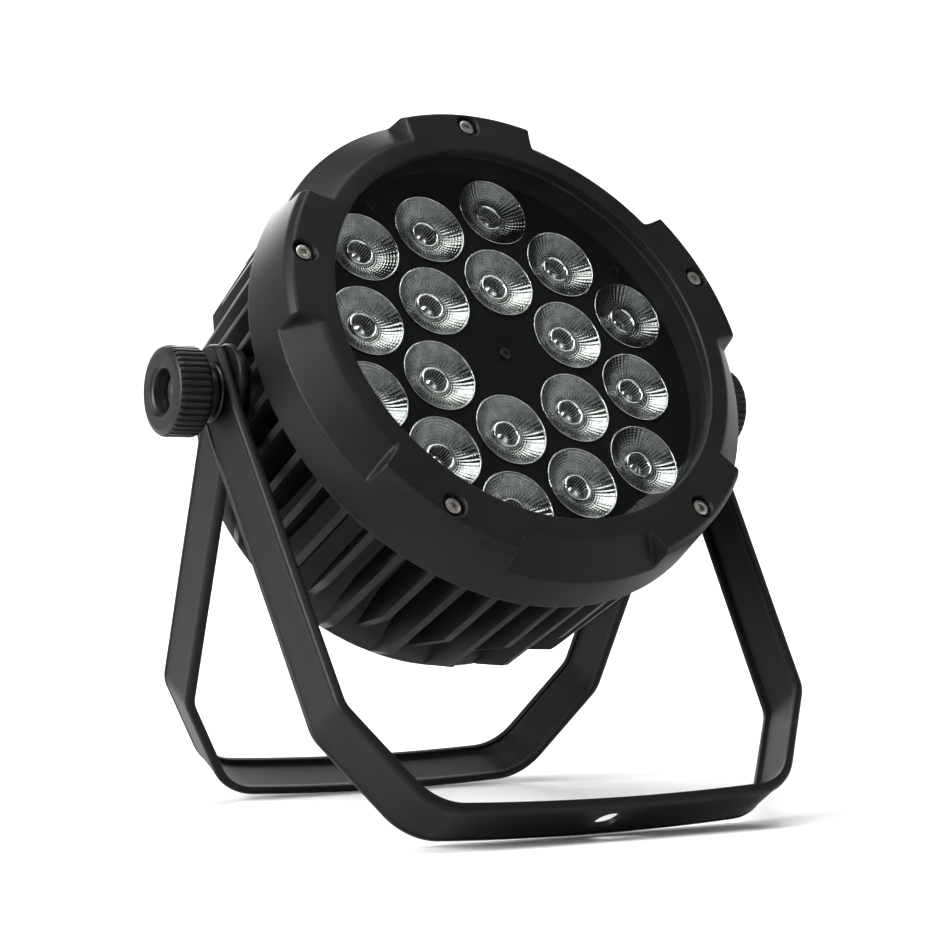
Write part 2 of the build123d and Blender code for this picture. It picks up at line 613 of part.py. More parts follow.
with BuildPart() as mask_pillars:
    with BuildSketch(HEAD.offset(BOARD_FRONT)):
        with Locations(*MASK_SCREW_PLACES):
            Circle(PILLAR_R)
            Circle(SMALL_SCREW_R + HOLE_GAP, mode=Mode.SUBTRACT)
    extrude(amount=MASK_BACK - BOARD_FRONT)
mask_pillars.part.label = "mask_pillars"
export_step(mask_pillars.part, "parts/mask_pillars.step")

with BuildPart() as mask_screws:
    screws(HEAD.offset(MASK_BACK + MASK), MASK_SCREW_PLACES, SMALL_HEAD_R, SMALL_HEAD, SMALL_SCREW_R,
           (MASK_BACK - BOARD_FRONT) / 2, SMALL_SCREW_R)
mask_screws.part.label = "mask_screws"
export_step(mask_screws.part, "parts/mask_screws.step")


# ---------------------------------------------------------------- power supply
SUPPLY_FRONT = CAVITY_FRONT - SUPPLY_STANDOFF
with BuildPart() as supply_standoffs:
    with BuildSketch(rear_plane(CAVITY_FRONT)):
        with Locations(*SUPPLY_SCREW_PLACES):
            Circle(PILLAR_R)
            Circle(SMALL_SCREW_R + HOLE_GAP, mode=Mode.SUBTRACT)
    extrude(amount=SUPPLY_STANDOFF)
supply_standoffs.part.label = "supply_standoffs"
export_step(supply_standoffs.part, "parts/supply_standoffs.step")

with BuildPart() as power_supply:
    with BuildSketch(rear_plane(SUPPLY_FRONT)):
        with Locations((0, SUPPLY_V)):
            RectangleRounded(SUPPLY[0], SUPPLY[1], 2 * SUPPLY_CASE)
    extrude(amount=SUPPLY[2])
    with BuildSketch(rear_plane(SUPPLY_FRONT)):
        with Locations(*SUPPLY_SCREW_PLACES):
            Circle(SMALL_SCREW_R + HOLE_GAP)
    extrude(amount=SUPPLY[2] / 2, mode=Mode.SUBTRACT)
power_supply.part.label = "power_supply"
export_step(power_supply.part, "parts/power_supply.step")

with BuildPart() as supply_screws:
    with BuildSketch(HEAD.offset(SPREADER_FRONT)):
        with Locations(*SUPPLY_SCREW_PLACES):
            Circle(SMALL_SCREW_R)
    extrude(amount=-(SPREADER + SUPPLY_STANDOFF + SUPPLY[2] / 4))
supply_screws.part.label = "supply_screws"
export_step(supply_screws.part, "parts/supply_screws.step")


# ---------------------------------------------------------------- rear cover
# Places on the cover are given as seen from behind: x to the right, y up across the head.
SOCKETS = {
    "power_inlet": -1.5 * SOCKET_PITCH,
    "power_outlet": -0.5 * SOCKET_PITCH,
    "data_inlet": 0.5 * SOCKET_PITCH,
    "data_outlet": 1.5 * SOCKET_PITCH,
}
SOCKET_PLACES = [(x, SOCKET_V) for x in SOCKETS.values()]
SOCKET_SCREW_PLACES = [
    (x + s * SOCKET_SCREW_OFFSET, SOCKET_V + s * SOCKET_SCREW_OFFSET)
    for x in SOCKETS.values() for s in (-1, 1)
]
BUTTON_PLACES = [((k - (len(BUTTONS) - 1) / 2) * BUTTON_PITCH, BUTTON_V) for k in range(len(BUTTONS))]
EYE_SCREW_PLACES = [(s * EYE_SCREW_SPAN / 2, EYE_V) for s in (-1, 1)]
BOARD_PILLAR_PLACES = [
    (x * (CONTROL_BOARD[0] / 2 - PILLAR_R), CONTROL_BOARD_V + y * (CONTROL_BOARD[1] / 2 - PILLAR_R))
    for x in (-1, 1) for y in (-1, 1)
]

with BuildPart() as cover_gasket:
    with BuildSketch(rear_plane(REAR_FACE)):
        Circle(COVER_R)
        Circle(REAR_OPENING_R, mode=Mode.SUBTRACT)
        with Locations(*COVER_SCREW_PLACES):
            Circle(COVER_SCREW_R + HOLE_GAP, mode=Mode.SUBTRACT)
    extrude(amount=COVER_GASKET)
cover_gasket.part.label = "cover_gasket"
export_step(cover_gasket.part, "parts/cover_gasket.step")

with BuildPart() as rear_cover:
    with BuildSketch(rear_plane(COVER_FRONT)):
        Circle(COVER_R)
    extrude(amount=COVER)
    chamfer(edges().group_by(Axis(PIVOT, -HEAD.z_dir))[-1], COVER / 4)
    with BuildSketch(rear_plane(COVER_FRONT)):
        with Locations(*COVER_SCREW_PLACES):
            Circle(COVER_SCREW_R + HOLE_GAP)
        with Locations(*SOCKET_PLACES):
            Circle(SOCKET_R + HOLE_GAP)
        with Locations(*SOCKET_SCREW_PLACES, *EYE_SCREW_PLACES):
            Circle(SMALL_SCREW_R + HOLE_GAP)
        with Locations(*BUTTON_PLACES):
            Circle(BUTTON_R + BUTTON_GAP)
        with Locations((0, VENT_V)):
            Circle(VENT_THREAD_R + HOLE_GAP)
        with Locations((0, WINDOW_V)):
            Rectangle(WINDOW[0] - 2 * WINDOW_LIP, WINDOW[1] - 2 * WINDOW_LIP)
    extrude(amount=COVER, mode=Mode.SUBTRACT)
    with BuildSketch(rear_plane(COVER_BACK)):
        with Locations((0, WINDOW_V)):
            Rectangle(WINDOW[0], WINDOW[1])
    extrude(amount=-WINDOW_SHEET, mode=Mode.SUBTRACT)
rear_cover.part.label = "rear_cover"
export_step(rear_cover.part, "parts/rear_cover.step")

with BuildPart() as cover_screws:
    screws(rear_plane(COVER_BACK), COVER_SCREW_PLACES, COVER_SCREW_HEAD_R, COVER_SCREW_HEAD, COVER_SCREW_R,
           COVER_SCREW_LENGTH, COVER_SCREW_R)
cover_screws.part.label = "cover_screws"
export_step(cover_screws.part, "parts/cover_screws.step")

with BuildPart() as display_window:
    with BuildSketch(rear_plane(COVER_BACK)):
        with Locations((0, WINDOW_V)):
            Rectangle(WINDOW[0] - 2 * HOLE_GAP, WINDOW[1] - 2 * HOLE_GAP)
    extrude(amount=-WINDOW_SHEET)
display_window.part.label = "display_window"
export_step(display_window.part, "parts/display_window.step")

with BuildPart() as control_board:
    with BuildSketch(rear_plane(CONTROL_BOARD_BACK)):
        with Locations((0, CONTROL_BOARD_V)):
            Rectangle(*CONTROL_BOARD)
        with Locations(*BOARD_PILLAR_PLACES):
            Circle(SMALL_SCREW_R + HOLE_GAP, mode=Mode.SUBTRACT)
    extrude(amount=-CIRCUIT_BOARD)
control_board.part.label = "control_board"
export_step(control_board.part, "parts/control_board.step")

with BuildPart() as board_pillars:
    with BuildSketch(rear_plane(CONTROL_BOARD_BACK)):
        with Locations(*BOARD_PILLAR_PLACES):
            Circle(PILLAR_R)
            Circle(SMALL_SCREW_R + HOLE_GAP, mode=Mode.SUBTRACT)
    extrude(amount=CONTROL_BOARD_GAP)
board_pillars.part.label = "board_pillars"
export_step(board_pillars.part, "parts/board_pillars.step")

with BuildPart() as display_module:
    with BuildSketch(rear_plane(CONTROL_BOARD_BACK)):
        with Locations((0, WINDOW_V)):
            Rectangle(WINDOW[0] + 2 * DISPLAY_MARGIN, WINDOW[1] + 2 * DISPLAY_MARGIN)
    extrude(amount=CONTROL_BOARD_GAP - HOLE_GAP)
display_module.part.label = "display_module"
export_step(display_module.part, "parts/display_module.step")

BUTTON_FOOT = COVER_FRONT + BUTTON_FLANGE
with BuildPart() as menu_switches:
    with BuildSketch(rear_plane(CONTROL_BOARD_BACK)):
        with Locations(*BUTTON_PLACES):
            Rectangle(SWITCH_SIDE, SWITCH_SIDE)
    extrude(amount=CONTROL_BOARD_BACK - BUTTON_FOOT - BUTTON_TRAVEL - HOLE_GAP)
menu_switches.part.label = "menu_switches"
export_step(menu_switches.part, "parts/menu_switches.step")

for button, place in zip(BUTTONS, BUTTON_PLACES):
    with BuildPart() as menu_button:
        with BuildSketch(rear_plane(COVER_FRONT)):
            with Locations(place):
                Circle(BUTTON_R)
        extrude(amount=COVER + BUTTON_PROUD)
        chamfer(edges().group_by(Axis(PIVOT, -HEAD.z_dir))[-1], BUTTON_PROUD / 4)
        with BuildSketch(rear_plane(BUTTON_FOOT)):
            with Locations(place):
                Circle(BUTTON_FLANGE_R)
        extrude(amount=BUTTON_FLANGE)
    menu_button.part.label = f"{button}_button"
    export_step(menu_button.part, f"parts/{button}_button.step")

for socket, across in SOCKETS.items():
    with BuildPart() as panel_socket:
        with BuildSketch(rear_plane(COVER_BACK)):
            with Locations((across, SOCKET_V)):
                RectangleRounded(SOCKET_FLANGE, SOCKET_FLANGE, SOCKET_FLANGE / 8)
        extrude(amount=SOCKET_FLANGE_THICK)
        with BuildSketch(rear_plane(SOCKET_BACK_FACE)):
            with Locations((across, SOCKET_V)):
                Circle(SOCKET_THREAD_R)
        extrude(amount=SOCKET_THREAD)
        with BuildSketch(rear_plane(COVER_BACK)):
            with Locations((across, SOCKET_V)):
                Circle(SOCKET_R)
        extrude(amount=-SOCKET_BACK)
        with BuildSketch(rear_plane(COVER_BACK)):
            with Locations(*[place for place in SOCKET_SCREW_PLACES if abs(place[0] - across) < SOCKET_R]):
                Circle(SMALL_SCREW_R + HOLE_GAP)
        extrude(amount=SOCKET_FLANGE_THICK, mode=Mode.SUBTRACT)
    panel_socket.part.label = socket
    export_step(panel_socket.part, f"parts/{socket}.step")

with BuildPart() as socket_screws:
    screws(rear_plane(SOCKET_BACK_FACE), SOCKET_SCREW_PLACES, SMALL_HEAD_R, SMALL_HEAD, SMALL_SCREW_R,
           SOCKET_FLANGE_THICK + COVER, SMALL_SCREW_R)
socket_screws.part.label = "socket_screws"
export_step(socket_screws.part, "parts/socket_screws.step")

with BuildPart() as socket_caps:
    for across in SOCKETS.values():
        with BuildSketch(rear_plane(SOCKET_BACK_FACE)):
            with Locations((across, SOCKET_V)):
                Circle(CAP_R)
        extrude(amount=CAP_LENGTH)
    chamfer(edges().group_by(Axis(PIVOT, -HEAD.z_dir))[-1], CAP_END / 3)
    with BuildSketch(rear_plane(SOCKET_BACK_FACE)):
        with Locations(*SOCKET_PLACES):
            Circle(SOCKET_THREAD_R + HOLE_GAP)
    extrude(amount=CAP_LENGTH - CAP_END, mode=Mode.SUBTRACT)
    with BuildSketch(rear_plane(SOCKET_BACK_FACE)):
        with Locations(*SOCKET_SCREW_PLACES):
            Circle(SMALL_HEAD_R + CAP_SCREW_GAP)
    extrude(amount=SMALL_HEAD + CAP_SCREW_GAP, mode=Mode.SUBTRACT)
socket_caps.part.label = "socket_caps"
export_step(socket_caps.part, "parts/socket_caps.step")

with BuildPart() as vent_valve:
    with BuildSketch(rear_plane(COVER_BACK)):
        with Locations((0, VENT_V)):
            RegularPolygon(VENT_HEX_R, 6)
    extrude(amount=VENT_HEIGHT)
    with BuildSketch(rear_plane(COVER_BACK)):
        with Locations((0, VENT_V)):
            Circle(VENT_THREAD_R)
    extrude(amount=-VENT_THREAD)
vent_valve.part.label = "vent_valve"
export_step(vent_valve.part, "parts/vent_valve.step")

EYE_LUG_TOP = Plane(PIVOT + HEAD.y_dir * (EYE_V + EYE_LUG / 2), x_dir=(1, 0, 0), z_dir=HEAD.y_dir)
with BuildPart() as safety_eye:
    with BuildSketch(rear_plane(COVER_BACK)):
        with Locations((0, EYE_V)):
            RectangleRounded(EYE_BASE_LENGTH, EYE_BASE_WIDTH, EYE_BASE_WIDTH / 4)
        with Locations(*EYE_SCREW_PLACES):
            Circle(SMALL_SCREW_R + HOLE_GAP, mode=Mode.SUBTRACT)
    extrude(amount=EYE_PLATE)
    with BuildSketch(EYE_LUG_TOP):
        with Locations((0, -EYE_BACK - EYE_WIDTH / 2)):
            Circle(EYE_WIDTH / 2)
        with Locations((0, -(EYE_BACK + EYE_WIDTH / 2 + COVER_BACK) / 2)):
            Rectangle(EYE_WIDTH, COVER_BACK - EYE_BACK - EYE_WIDTH / 2)
        with Locations((0, -EYE_BACK - EYE_WIDTH / 2)):
            Circle(EYE_HOLE_R, mode=Mode.SUBTRACT)
    extrude(amount=-EYE_LUG)
safety_eye.part.label = "safety_eye"
export_step(safety_eye.part, "parts/safety_eye.step")

with BuildPart() as eye_screws:
    screws(rear_plane(COVER_BACK - EYE_PLATE), EYE_SCREW_PLACES, SMALL_HEAD_R, SMALL_HEAD, SMALL_SCREW_R,
           EYE_PLATE + COVER, SMALL_SCREW_R)
eye_screws.part.label = "eye_screws"
export_step(eye_screws.part, "parts/eye_screws.step")


# ---------------------------------------------------------------- pivots and knobs
def pivot_turned(side, *profile, mode=Mode.ADD):
    """Ring or disc turned about the pivot axis on one side, from (radius, distance) corners."""
    with BuildSketch(Plane(PIVOT, x_dir=(0, 0, 1), z_dir=(0, side, 0))) as section:
        with BuildLine():
            Polyline(*profile, close=True)
        make_face()
    revolve(section.sketch, axis=Axis(PIVOT, (side, 0, 0)), mode=mode)


def pivot_ring(side, inner_r, outer_r, start, end, mode=Mode.ADD):
    """Plain ring about the pivot axis between two distances."""
    pivot_turned(side, (inner_r, start), (outer_r, start), (outer_r, end), (inner_r, end), mode=mode)


STUD_BORE_R = STUD_R + RUNNING_GAP
with BuildPart() as pivot_inserts:
    for side in (-1, 1):
        pivot_ring(side, STUD_BORE_R, INSERT_R, NOSE_X - INSERT_LENGTH, NOSE_X)
pivot_inserts.part.label = "pivot_inserts"
export_step(pivot_inserts.part, "parts/pivot_inserts.step")

with BuildPart() as friction_discs:
    for side in (-1, 1):
        pivot_ring(side, STUD_BORE_R, NOSE_R, NOSE_X, REAR_EAR_X - BRACKET_WALL)
friction_discs.part.label = "friction_discs"
export_step(friction_discs.part, "parts/friction_discs.step")

with BuildPart() as ear_spacers:
    for side in (-1, 1):
        pivot_ring(side, STUD_BORE_R, NOSE_R, REAR_EAR_X, FRONT_EAR_X - BRACKET_WALL)
ear_spacers.part.label = "ear_spacers"
export_step(ear_spacers.part, "parts/ear_spacers.step")

WELL_FLOOR_X = KNOB_END_X - KNOB_WELL_DEPTH
for name, side in (("left", -1), ("right", 1)):
    with BuildPart() as washer:
        pivot_ring(side, STUD_BORE_R, WASHER_R, WASHER_X, NECK_X)
    washer.part.label = f"{name}_washer"
    export_step(washer.part, f"parts/{name}_washer.step")

    with BuildPart() as knob:
        with BuildSketch(ear_plane(side, KNOB_X)):
            Circle(KNOB_R - KNOB_RIB_HEIGHT)
            with PolarLocations(KNOB_R - KNOB_RIB_R, KNOB_RIBS):
                Circle(KNOB_RIB_R)
        extrude(amount=KNOB_LENGTH)
        pivot_turned(
            side, (0, KNOB_X), (KNOB_R - KNOB_CHAMFER, KNOB_X), (KNOB_R, KNOB_X + KNOB_CHAMFER),
            (KNOB_R, KNOB_END_X - KNOB_CHAMFER), (KNOB_R - KNOB_CHAMFER, KNOB_END_X), (0, KNOB_END_X),
            mode=Mode.INTERSECT,
        )
        pivot_ring(side, 0, NECK_R, NECK_X, KNOB_X)
        pivot_turned(
            side, (0, WELL_FLOOR_X), (KNOB_WELL_R, WELL_FLOOR_X), (KNOB_WELL_R, KNOB_END_X - KNOB_CHAMFER),
            (KNOB_WELL_R + KNOB_CHAMFER, KNOB_END_X), (0, KNOB_END_X), mode=Mode.SUBTRACT,
        )
        pivot_ring(side, 0, STUD_R, NECK_X, WELL_FLOOR_X, mode=Mode.SUBTRACT)
    knob.part.label = f"{name}_knob"
    export_step(knob.part, f"parts/{name}_knob.step")

    with BuildPart() as knob_stud:
        pivot_ring(side, 0, STUD_R, NOSE_X - STUD_ENGAGEMENT, WELL_FLOOR_X)
        pivot_ring(side, 0, STUD_HEAD_R, WELL_FLOOR_X, WELL_FLOOR_X + STUD_HEAD)
        with BuildSketch(ear_plane(side, WELL_FLOOR_X + STUD_HEAD)):
            RegularPolygon(STUD_R, 6)
        extrude(amount=-SOCKET_DEPTH_SHARE * STUD_HEAD, mode=Mode.SUBTRACT)
    knob_stud.part.label = f"{name}_knob_stud"
    export_step(knob_stud.part, f"parts/{name}_knob_stud.step")
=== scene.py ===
import json
import bmesh
import bpy
import numpy as np
from mathutils import Matrix, Vector

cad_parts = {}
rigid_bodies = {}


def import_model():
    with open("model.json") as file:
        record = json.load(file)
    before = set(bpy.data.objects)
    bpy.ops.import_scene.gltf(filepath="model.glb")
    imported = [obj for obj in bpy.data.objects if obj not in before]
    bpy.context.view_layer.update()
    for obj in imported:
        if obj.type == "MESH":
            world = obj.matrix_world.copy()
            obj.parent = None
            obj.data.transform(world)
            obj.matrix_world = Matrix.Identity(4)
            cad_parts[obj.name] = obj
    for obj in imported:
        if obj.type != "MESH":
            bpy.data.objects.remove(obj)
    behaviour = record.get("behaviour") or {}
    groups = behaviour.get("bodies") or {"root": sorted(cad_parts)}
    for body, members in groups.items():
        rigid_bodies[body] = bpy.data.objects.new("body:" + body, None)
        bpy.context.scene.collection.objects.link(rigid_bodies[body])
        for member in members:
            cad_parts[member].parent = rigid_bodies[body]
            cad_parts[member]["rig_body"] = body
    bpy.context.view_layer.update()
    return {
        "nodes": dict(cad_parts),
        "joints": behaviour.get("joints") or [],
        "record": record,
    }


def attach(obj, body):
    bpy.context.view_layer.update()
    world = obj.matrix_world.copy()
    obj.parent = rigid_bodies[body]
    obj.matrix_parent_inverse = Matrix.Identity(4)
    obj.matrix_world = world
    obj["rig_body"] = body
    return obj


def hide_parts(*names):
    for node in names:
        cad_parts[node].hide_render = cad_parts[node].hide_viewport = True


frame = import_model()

# LED par can light: a finned head with a lobed bezel, hung between two pressed brackets.
# Sizes are in millimetres and are turned into metres where a mesh is made.
MM = 0.001

# ---------------------------------------------------------------- places from the frame
joints = {joint["name"]: joint for joint in frame["joints"]}
mounts = {mount["name"]: mount for mount in frame["record"]["mounts"]}
PIVOT = np.array(joints["head_tilt"]["pos_m"]) / MM
BEAM = np.array(joints["menu_button_press"]["axis"])
HEAD_UP = np.array(mounts["safety_eye_hole"]["axis"])
ACROSS = np.array([1.0, 0.0, 0.0])


def on_head(across, up, forward):
    """Points of the head from their distances across, up the head and along the beam."""
    across, up, forward = np.broadcast_arrays(across, up, forward)
    return PIVOT + across[..., None] * ACROSS + up[..., None] * HEAD_UP + forward[..., None] * BEAM


def round_head(radius, angle, forward):
    """Points of the head from a radius, an angle about the beam and a depth."""
    return on_head(radius * np.cos(angle), radius * np.sin(angle), forward)


# ---------------------------------------------------------------- meshes
def grid_piece(name, points, across=False, down=False):
    """Quads between neighbours in a grid of millimetre points, closed across its columns or down its rows."""
    rows, columns = points.shape[:2]
    index = np.arange(rows * columns).reshape(rows, columns)
    last = np.arange(columns if across else columns - 1)
    step = np.arange(rows if down else rows - 1)
    here = index[step[:, None], last]
    right = index[step[:, None], (last + 1) % columns]
    below = index[((step + 1) % rows)[:, None], last]
    corner = index[((step + 1) % rows)[:, None], (last + 1) % columns]
    quads = np.stack([here, right, corner, below], axis=-1).reshape(-1, 4)
    return mesh_piece(name, points.reshape(-1, 3), quads)


def mesh_piece(name, points, faces):
    """Object made of millimetre points and faces that all have the same number of corners."""
    points = np.asarray(points)
    faces = np.asarray(faces)
    mesh = bpy.data.meshes.new(name)
    mesh.vertices.add(len(points))
    mesh.vertices.foreach_set("co", (points * MM).astype(np.float32).ravel())
    mesh.loops.add(faces.size)
    mesh.loops.foreach_set("vertex_index", faces.astype(np.int32).ravel())
    mesh.polygons.add(len(faces))
    mesh.polygons.foreach_set("loop_start", np.arange(len(faces), dtype=np.int32) * faces.shape[1])
    mesh.polygons.foreach_set("use_smooth", np.ones(len(faces), bool))
    mesh.update(calc_edges=True)
    mesh.validate()
    piece = bpy.data.objects.new(name, mesh)
    bpy.context.scene.collection.objects.link(piece)
    return piece


def finished(piece, body, material, slot, *nodes):
    """Gives a piece its material, its body and the CAD nodes that it stands for. The slot is not used."""
    piece.data.materials.clear()
    piece.data.materials.append(material)
    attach(piece, body)
    if nodes:
        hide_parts(*nodes)
    return piece


def with_modifiers_applied(piece):
    """Swaps a piece's mesh for the one that its modifiers make."""
    graph = bpy.context.evaluated_depsgraph_get()
    mesh = bpy.data.meshes.new_from_object(piece.evaluated_get(graph))
    piece.modifiers.clear()
    piece.data = mesh
    return piece


def eased(corners, radius, spacing, closed=True):
    """Outline through corners, each rounded by a curve that starts a radius before it and ends a radius after it, or
    its share of a side that is too short for both ends, with points about a spacing apart. Radius and spacing are
    one number, or one for each corner and for the side after it."""
    corners = np.asarray(corners, float)
    radii = np.broadcast_to(radius, len(corners))
    spacings = np.broadcast_to(spacing, len(corners))
    outline = []
    count = len(corners)
    for k in range(count):
        here, before, after = corners[k], corners[k - 1], corners[(k + 1) % count]
        if not closed and k in (0, count - 1):
            outline.append(here[None])
            continue
        inwards, outwards = before - here, after - here
        length_in, length_out = np.linalg.norm(inwards), np.linalg.norm(outwards)
        share_in = radii[k] / (radii[k] + radii[k - 1])
        share_out = radii[k] / (radii[k] + radii[(k + 1) % count])
        reach = min(radii[k], 0.98 * length_in * share_in, 0.98 * length_out * share_out)
        start = here + inwards / length_in * reach
        end = here + outwards / length_out * reach
        t = np.linspace(0, 1, 6)[:, None]
        outline.append((1 - t) ** 2 * start + 2 * t * (1 - t) * here + t**2 * end)
    dense = []
    for k in range(count if closed else count - 1):
        dense.append(outline[k])
        start, end = outline[k][-1], outline[(k + 1) % count][0]
        extra = int(np.linalg.norm(end - start) // spacings[k])
        if extra:
            t = np.linspace(0, 1, extra + 2)[1:-1, None]
            dense.append(start + (end - start) * t)
    if not closed:
        dense.append(outline[-1])
    return np.concatenate(dense)


def smooth_step(value, start, end):
    """Rises from 0 to 1 between two values with no kink."""
    t = np.clip((value - start) / (end - start), 0, 1)
    return t * t * (3 - 2 * t)


def eased_copy(node, width, material, slot, angle=32):
    """Copy of a CAD node with its loose triangles merged and its sharp edges rounded by a narrow bevel."""
    source = frame["nodes"][node]
    mesh = source.data.copy()
    piece = bpy.data.objects.new(node + "_finished", mesh)
    bpy.context.scene.collection.objects.link(piece)
    weld = piece.modifiers.new("weld", "WELD")
    weld.merge_threshold = 0.00001
    bevel = piece.modifiers.new("bevel", "BEVEL")
    bevel.width = width * MM
    bevel.segments = 2
    bevel.limit_method = "ANGLE"
    bevel.angle_limit = np.radians(angle)
    bevel.harden_normals = False
    with_modifiers_applied(piece)
    piece.data.polygons.foreach_set("use_smooth", np.ones(len(piece.data.polygons), bool))
    piece.data.set_sharp_from_angle(angle=np.radians(angle))
    piece.name = node + "_finished"
    return finished(piece, source["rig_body"], material, slot, node)


# ---------------------------------------------------------------- materials
class Value:
    """A shader socket that adds Math nodes when it is used in a sum or a product."""

    def __init__(self, finish, socket):
        self.finish = finish
        self.socket = socket

    def maths(self, operation, *others):
        node = self.finish.node("ShaderNodeMath", {"operation": operation})
        for place, other in enumerate((self, *others)):
            self.finish.join(other, node.inputs[place])
        return Value(self.finish, node.outputs[0])

    def __add__(self, other):
        return self.maths("ADD", other)

    __radd__ = __add__

    def __mul__(self, other):
        return self.maths("MULTIPLY", other)

    __rmul__ = __mul__

    def __sub__(self, other):
        return self.maths("SUBTRACT", other)

    def __rsub__(self, other):
        return (self * -1.0) + other

    def over(self, start, end):
        """Rises smoothly from 0 to 1 while this value goes from start to end."""
        node = self.finish.node("ShaderNodeMapRange", {"interpolation_type": "SMOOTHSTEP"})
        for place, other in enumerate((self, start, end)):
            self.finish.join(other, node.inputs[place])
        return Value(self.finish, node.outputs[0])


class Finish:
    """One material: a Principled shader with its constants, and the nodes that vary it over the surface."""

    def __init__(self, name, **constants):
        self.material = bpy.data.materials.new(name)
        self.material.use_nodes = True
        self.tree = self.material.node_tree
        self.shader = self.tree.nodes["Principled BSDF"]
        self.output = self.tree.nodes["Material Output"]
        for socket, value in constants.items():
            self.shader.inputs[socket.replace("_", " ")].default_value = value
        self.place = Value(self, self.node("ShaderNodeTexCoord").outputs["Object"])

    def join(self, source, socket):
        """Puts a value, a node's first output or a number into a socket."""
        if isinstance(source, Value):
            self.tree.links.new(source.socket, socket)
        elif isinstance(source, bpy.types.NodeSocket):
            self.tree.links.new(source, socket)
        else:
            socket.default_value = source

    def node(self, kind, settings=None, **sockets):
        """Adds a node, sets its settings first and then fills its sockets."""
        node = self.tree.nodes.new(kind)
        for name, value in (settings or {}).items():
            setattr(node, name, value)
        for name, value in sockets.items():
            self.join(value, node.inputs[name.replace("_", " ")])
        return node

    def noise(self, size, detail=2.0, roughness=0.5):
        """Cloudy pattern from 0 to 1 whose features are a size in millimetres across."""
        node = self.node("ShaderNodeTexNoise", Vector=self.place, Scale=1 / (size * MM), Detail=detail,
                         Roughness=roughness)
        return Value(self, node.outputs["Fac"])

    def cells(self, size, feature="F1", randomness=1.0, place=None):
        """Distance to the nearest of scattered cells that are a size in millimetres across."""
        node = self.node("ShaderNodeTexVoronoi", {"feature": feature}, Vector=place or self.place,
                         Scale=1 / (size * MM), Randomness=randomness)
        return Value(self, node.outputs["Distance"])

    def colour(self, dark, light, mix):
        """Base colour between two colours."""
        node = self.node("ShaderNodeMix", {"data_type": "RGBA"})
        self.join(mix, node.inputs[0])
        self.join((*dark, 1), node.inputs[6])
        self.join((*light, 1), node.inputs[7])
        self.tree.links.new(node.outputs[2], self.shader.inputs["Base Color"])
        return self

    def rough(self, value):
        """Roughness over the surface."""
        self.join(value, self.shader.inputs["Roughness"])
        return self

    def bumps(self, height, strength, depth):
        """Bumps of a depth in millimetres."""
        node = self.node("ShaderNodeBump", Height=height, Strength=strength, Distance=depth * MM)
        self.tree.links.new(node.outputs[0], self.shader.inputs["Normal"])
        return self


def powder_coat(name, grain, tone=0.004):
    """Satin black powder coat: a fine orange-peel grain, faint dust and slightly uneven gloss."""
    finish = Finish(name, Metallic=0.0, Specular_IOR_Level=0.15)
    peel = finish.noise(grain, 3.0, 0.6)
    patches = finish.noise(38, 3.0)
    finish.colour((tone * 0.75,) * 3, (tone * 1.35, tone * 1.35, tone * 1.42), patches.over(0.3, 0.75))
    finish.rough(peel * 0.12 + patches * 0.14 + 0.33)
    finish.bumps(peel, 0.38, 0.12)
    return finish.material


def moulded(name, tone, grain=0.5, gloss=0.42, depth=0.05, level=0.35):
    """Moulded plastic or rubber with a fine spark-eroded texture."""
    finish = Finish(name, Specular_IOR_Level=level)
    spark = finish.noise(grain, 4.0, 0.65)
    patches = finish.noise(14, 2.0)
    dark = tuple(0.8 * channel for channel in tone)
    light = tuple(1.25 * channel for channel in tone)
    finish.colour(dark, light, patches.over(0.3, 0.7))
    finish.rough(spark * 0.12 + patches * 0.1 + (gloss - 0.1))
    finish.bumps(spark, 0.3, depth)
    return finish.material


def turned_metal(name, tone, gloss=0.28, grain=0.25):
    """Machined or drawn metal with fine marks and a little grime."""
    finish = Finish(name, Metallic=1.0)
    marks = finish.noise(grain, 4.0, 0.7)
    grime = finish.noise(3.0, 3.0)
    finish.colour(tuple(0.55 * channel for channel in tone), tone, grime.over(0.25, 0.6))
    finish.rough(marks * 0.2 + (gloss - 0.08))
    finish.bumps(marks, 0.15, 0.03)
    return finish.material


def circuit_board(name, mask):
    """Solder mask over copper tracks, with a weave faintly under it."""
    finish = Finish(name, Specular_IOR_Level=0.5)
    tracks = finish.cells(6.0, "DISTANCE_TO_EDGE")
    copper = 1 - tracks.over(0.05, 0.09)
    finish.colour(mask, tuple(1.7 * channel + 0.02 for channel in mask), copper)
    finish.rough(finish.noise(2.0) * 0.15 + 0.25)
    finish.bumps(copper, 0.3, 0.05)
    return finish.material


def pane(name, tint, gloss=0.015, mirror=1.0):
    """Clear sheet: what is behind shows through it, and it mirrors more at a grazing angle, by the fifth power
    of how far it turns away."""
    finish = Finish(name)
    smears = finish.noise(45, 2.0)
    see_through = finish.node("ShaderNodeBsdfTransparent", Color=(*tint, 1))
    shine = finish.node("ShaderNodeBsdfGlossy", Color=(mirror, mirror, mirror, 1), Roughness=gloss)
    facing = Value(finish, finish.node("ShaderNodeLayerWeight", Blend=0.5).outputs["Facing"])
    amount = facing.maths("POWER", 5.0) * 0.85 + (smears * 0.008 + 0.018)
    mixed = finish.node("ShaderNodeMixShader")
    finish.join(amount, mixed.inputs[0])
    finish.tree.links.new(see_through.outputs[0], mixed.inputs[1])
    finish.tree.links.new(shine.outputs[0], mixed.inputs[2])
    finish.tree.links.new(mixed.outputs[0], finish.output.inputs["Surface"])
    return finish.material


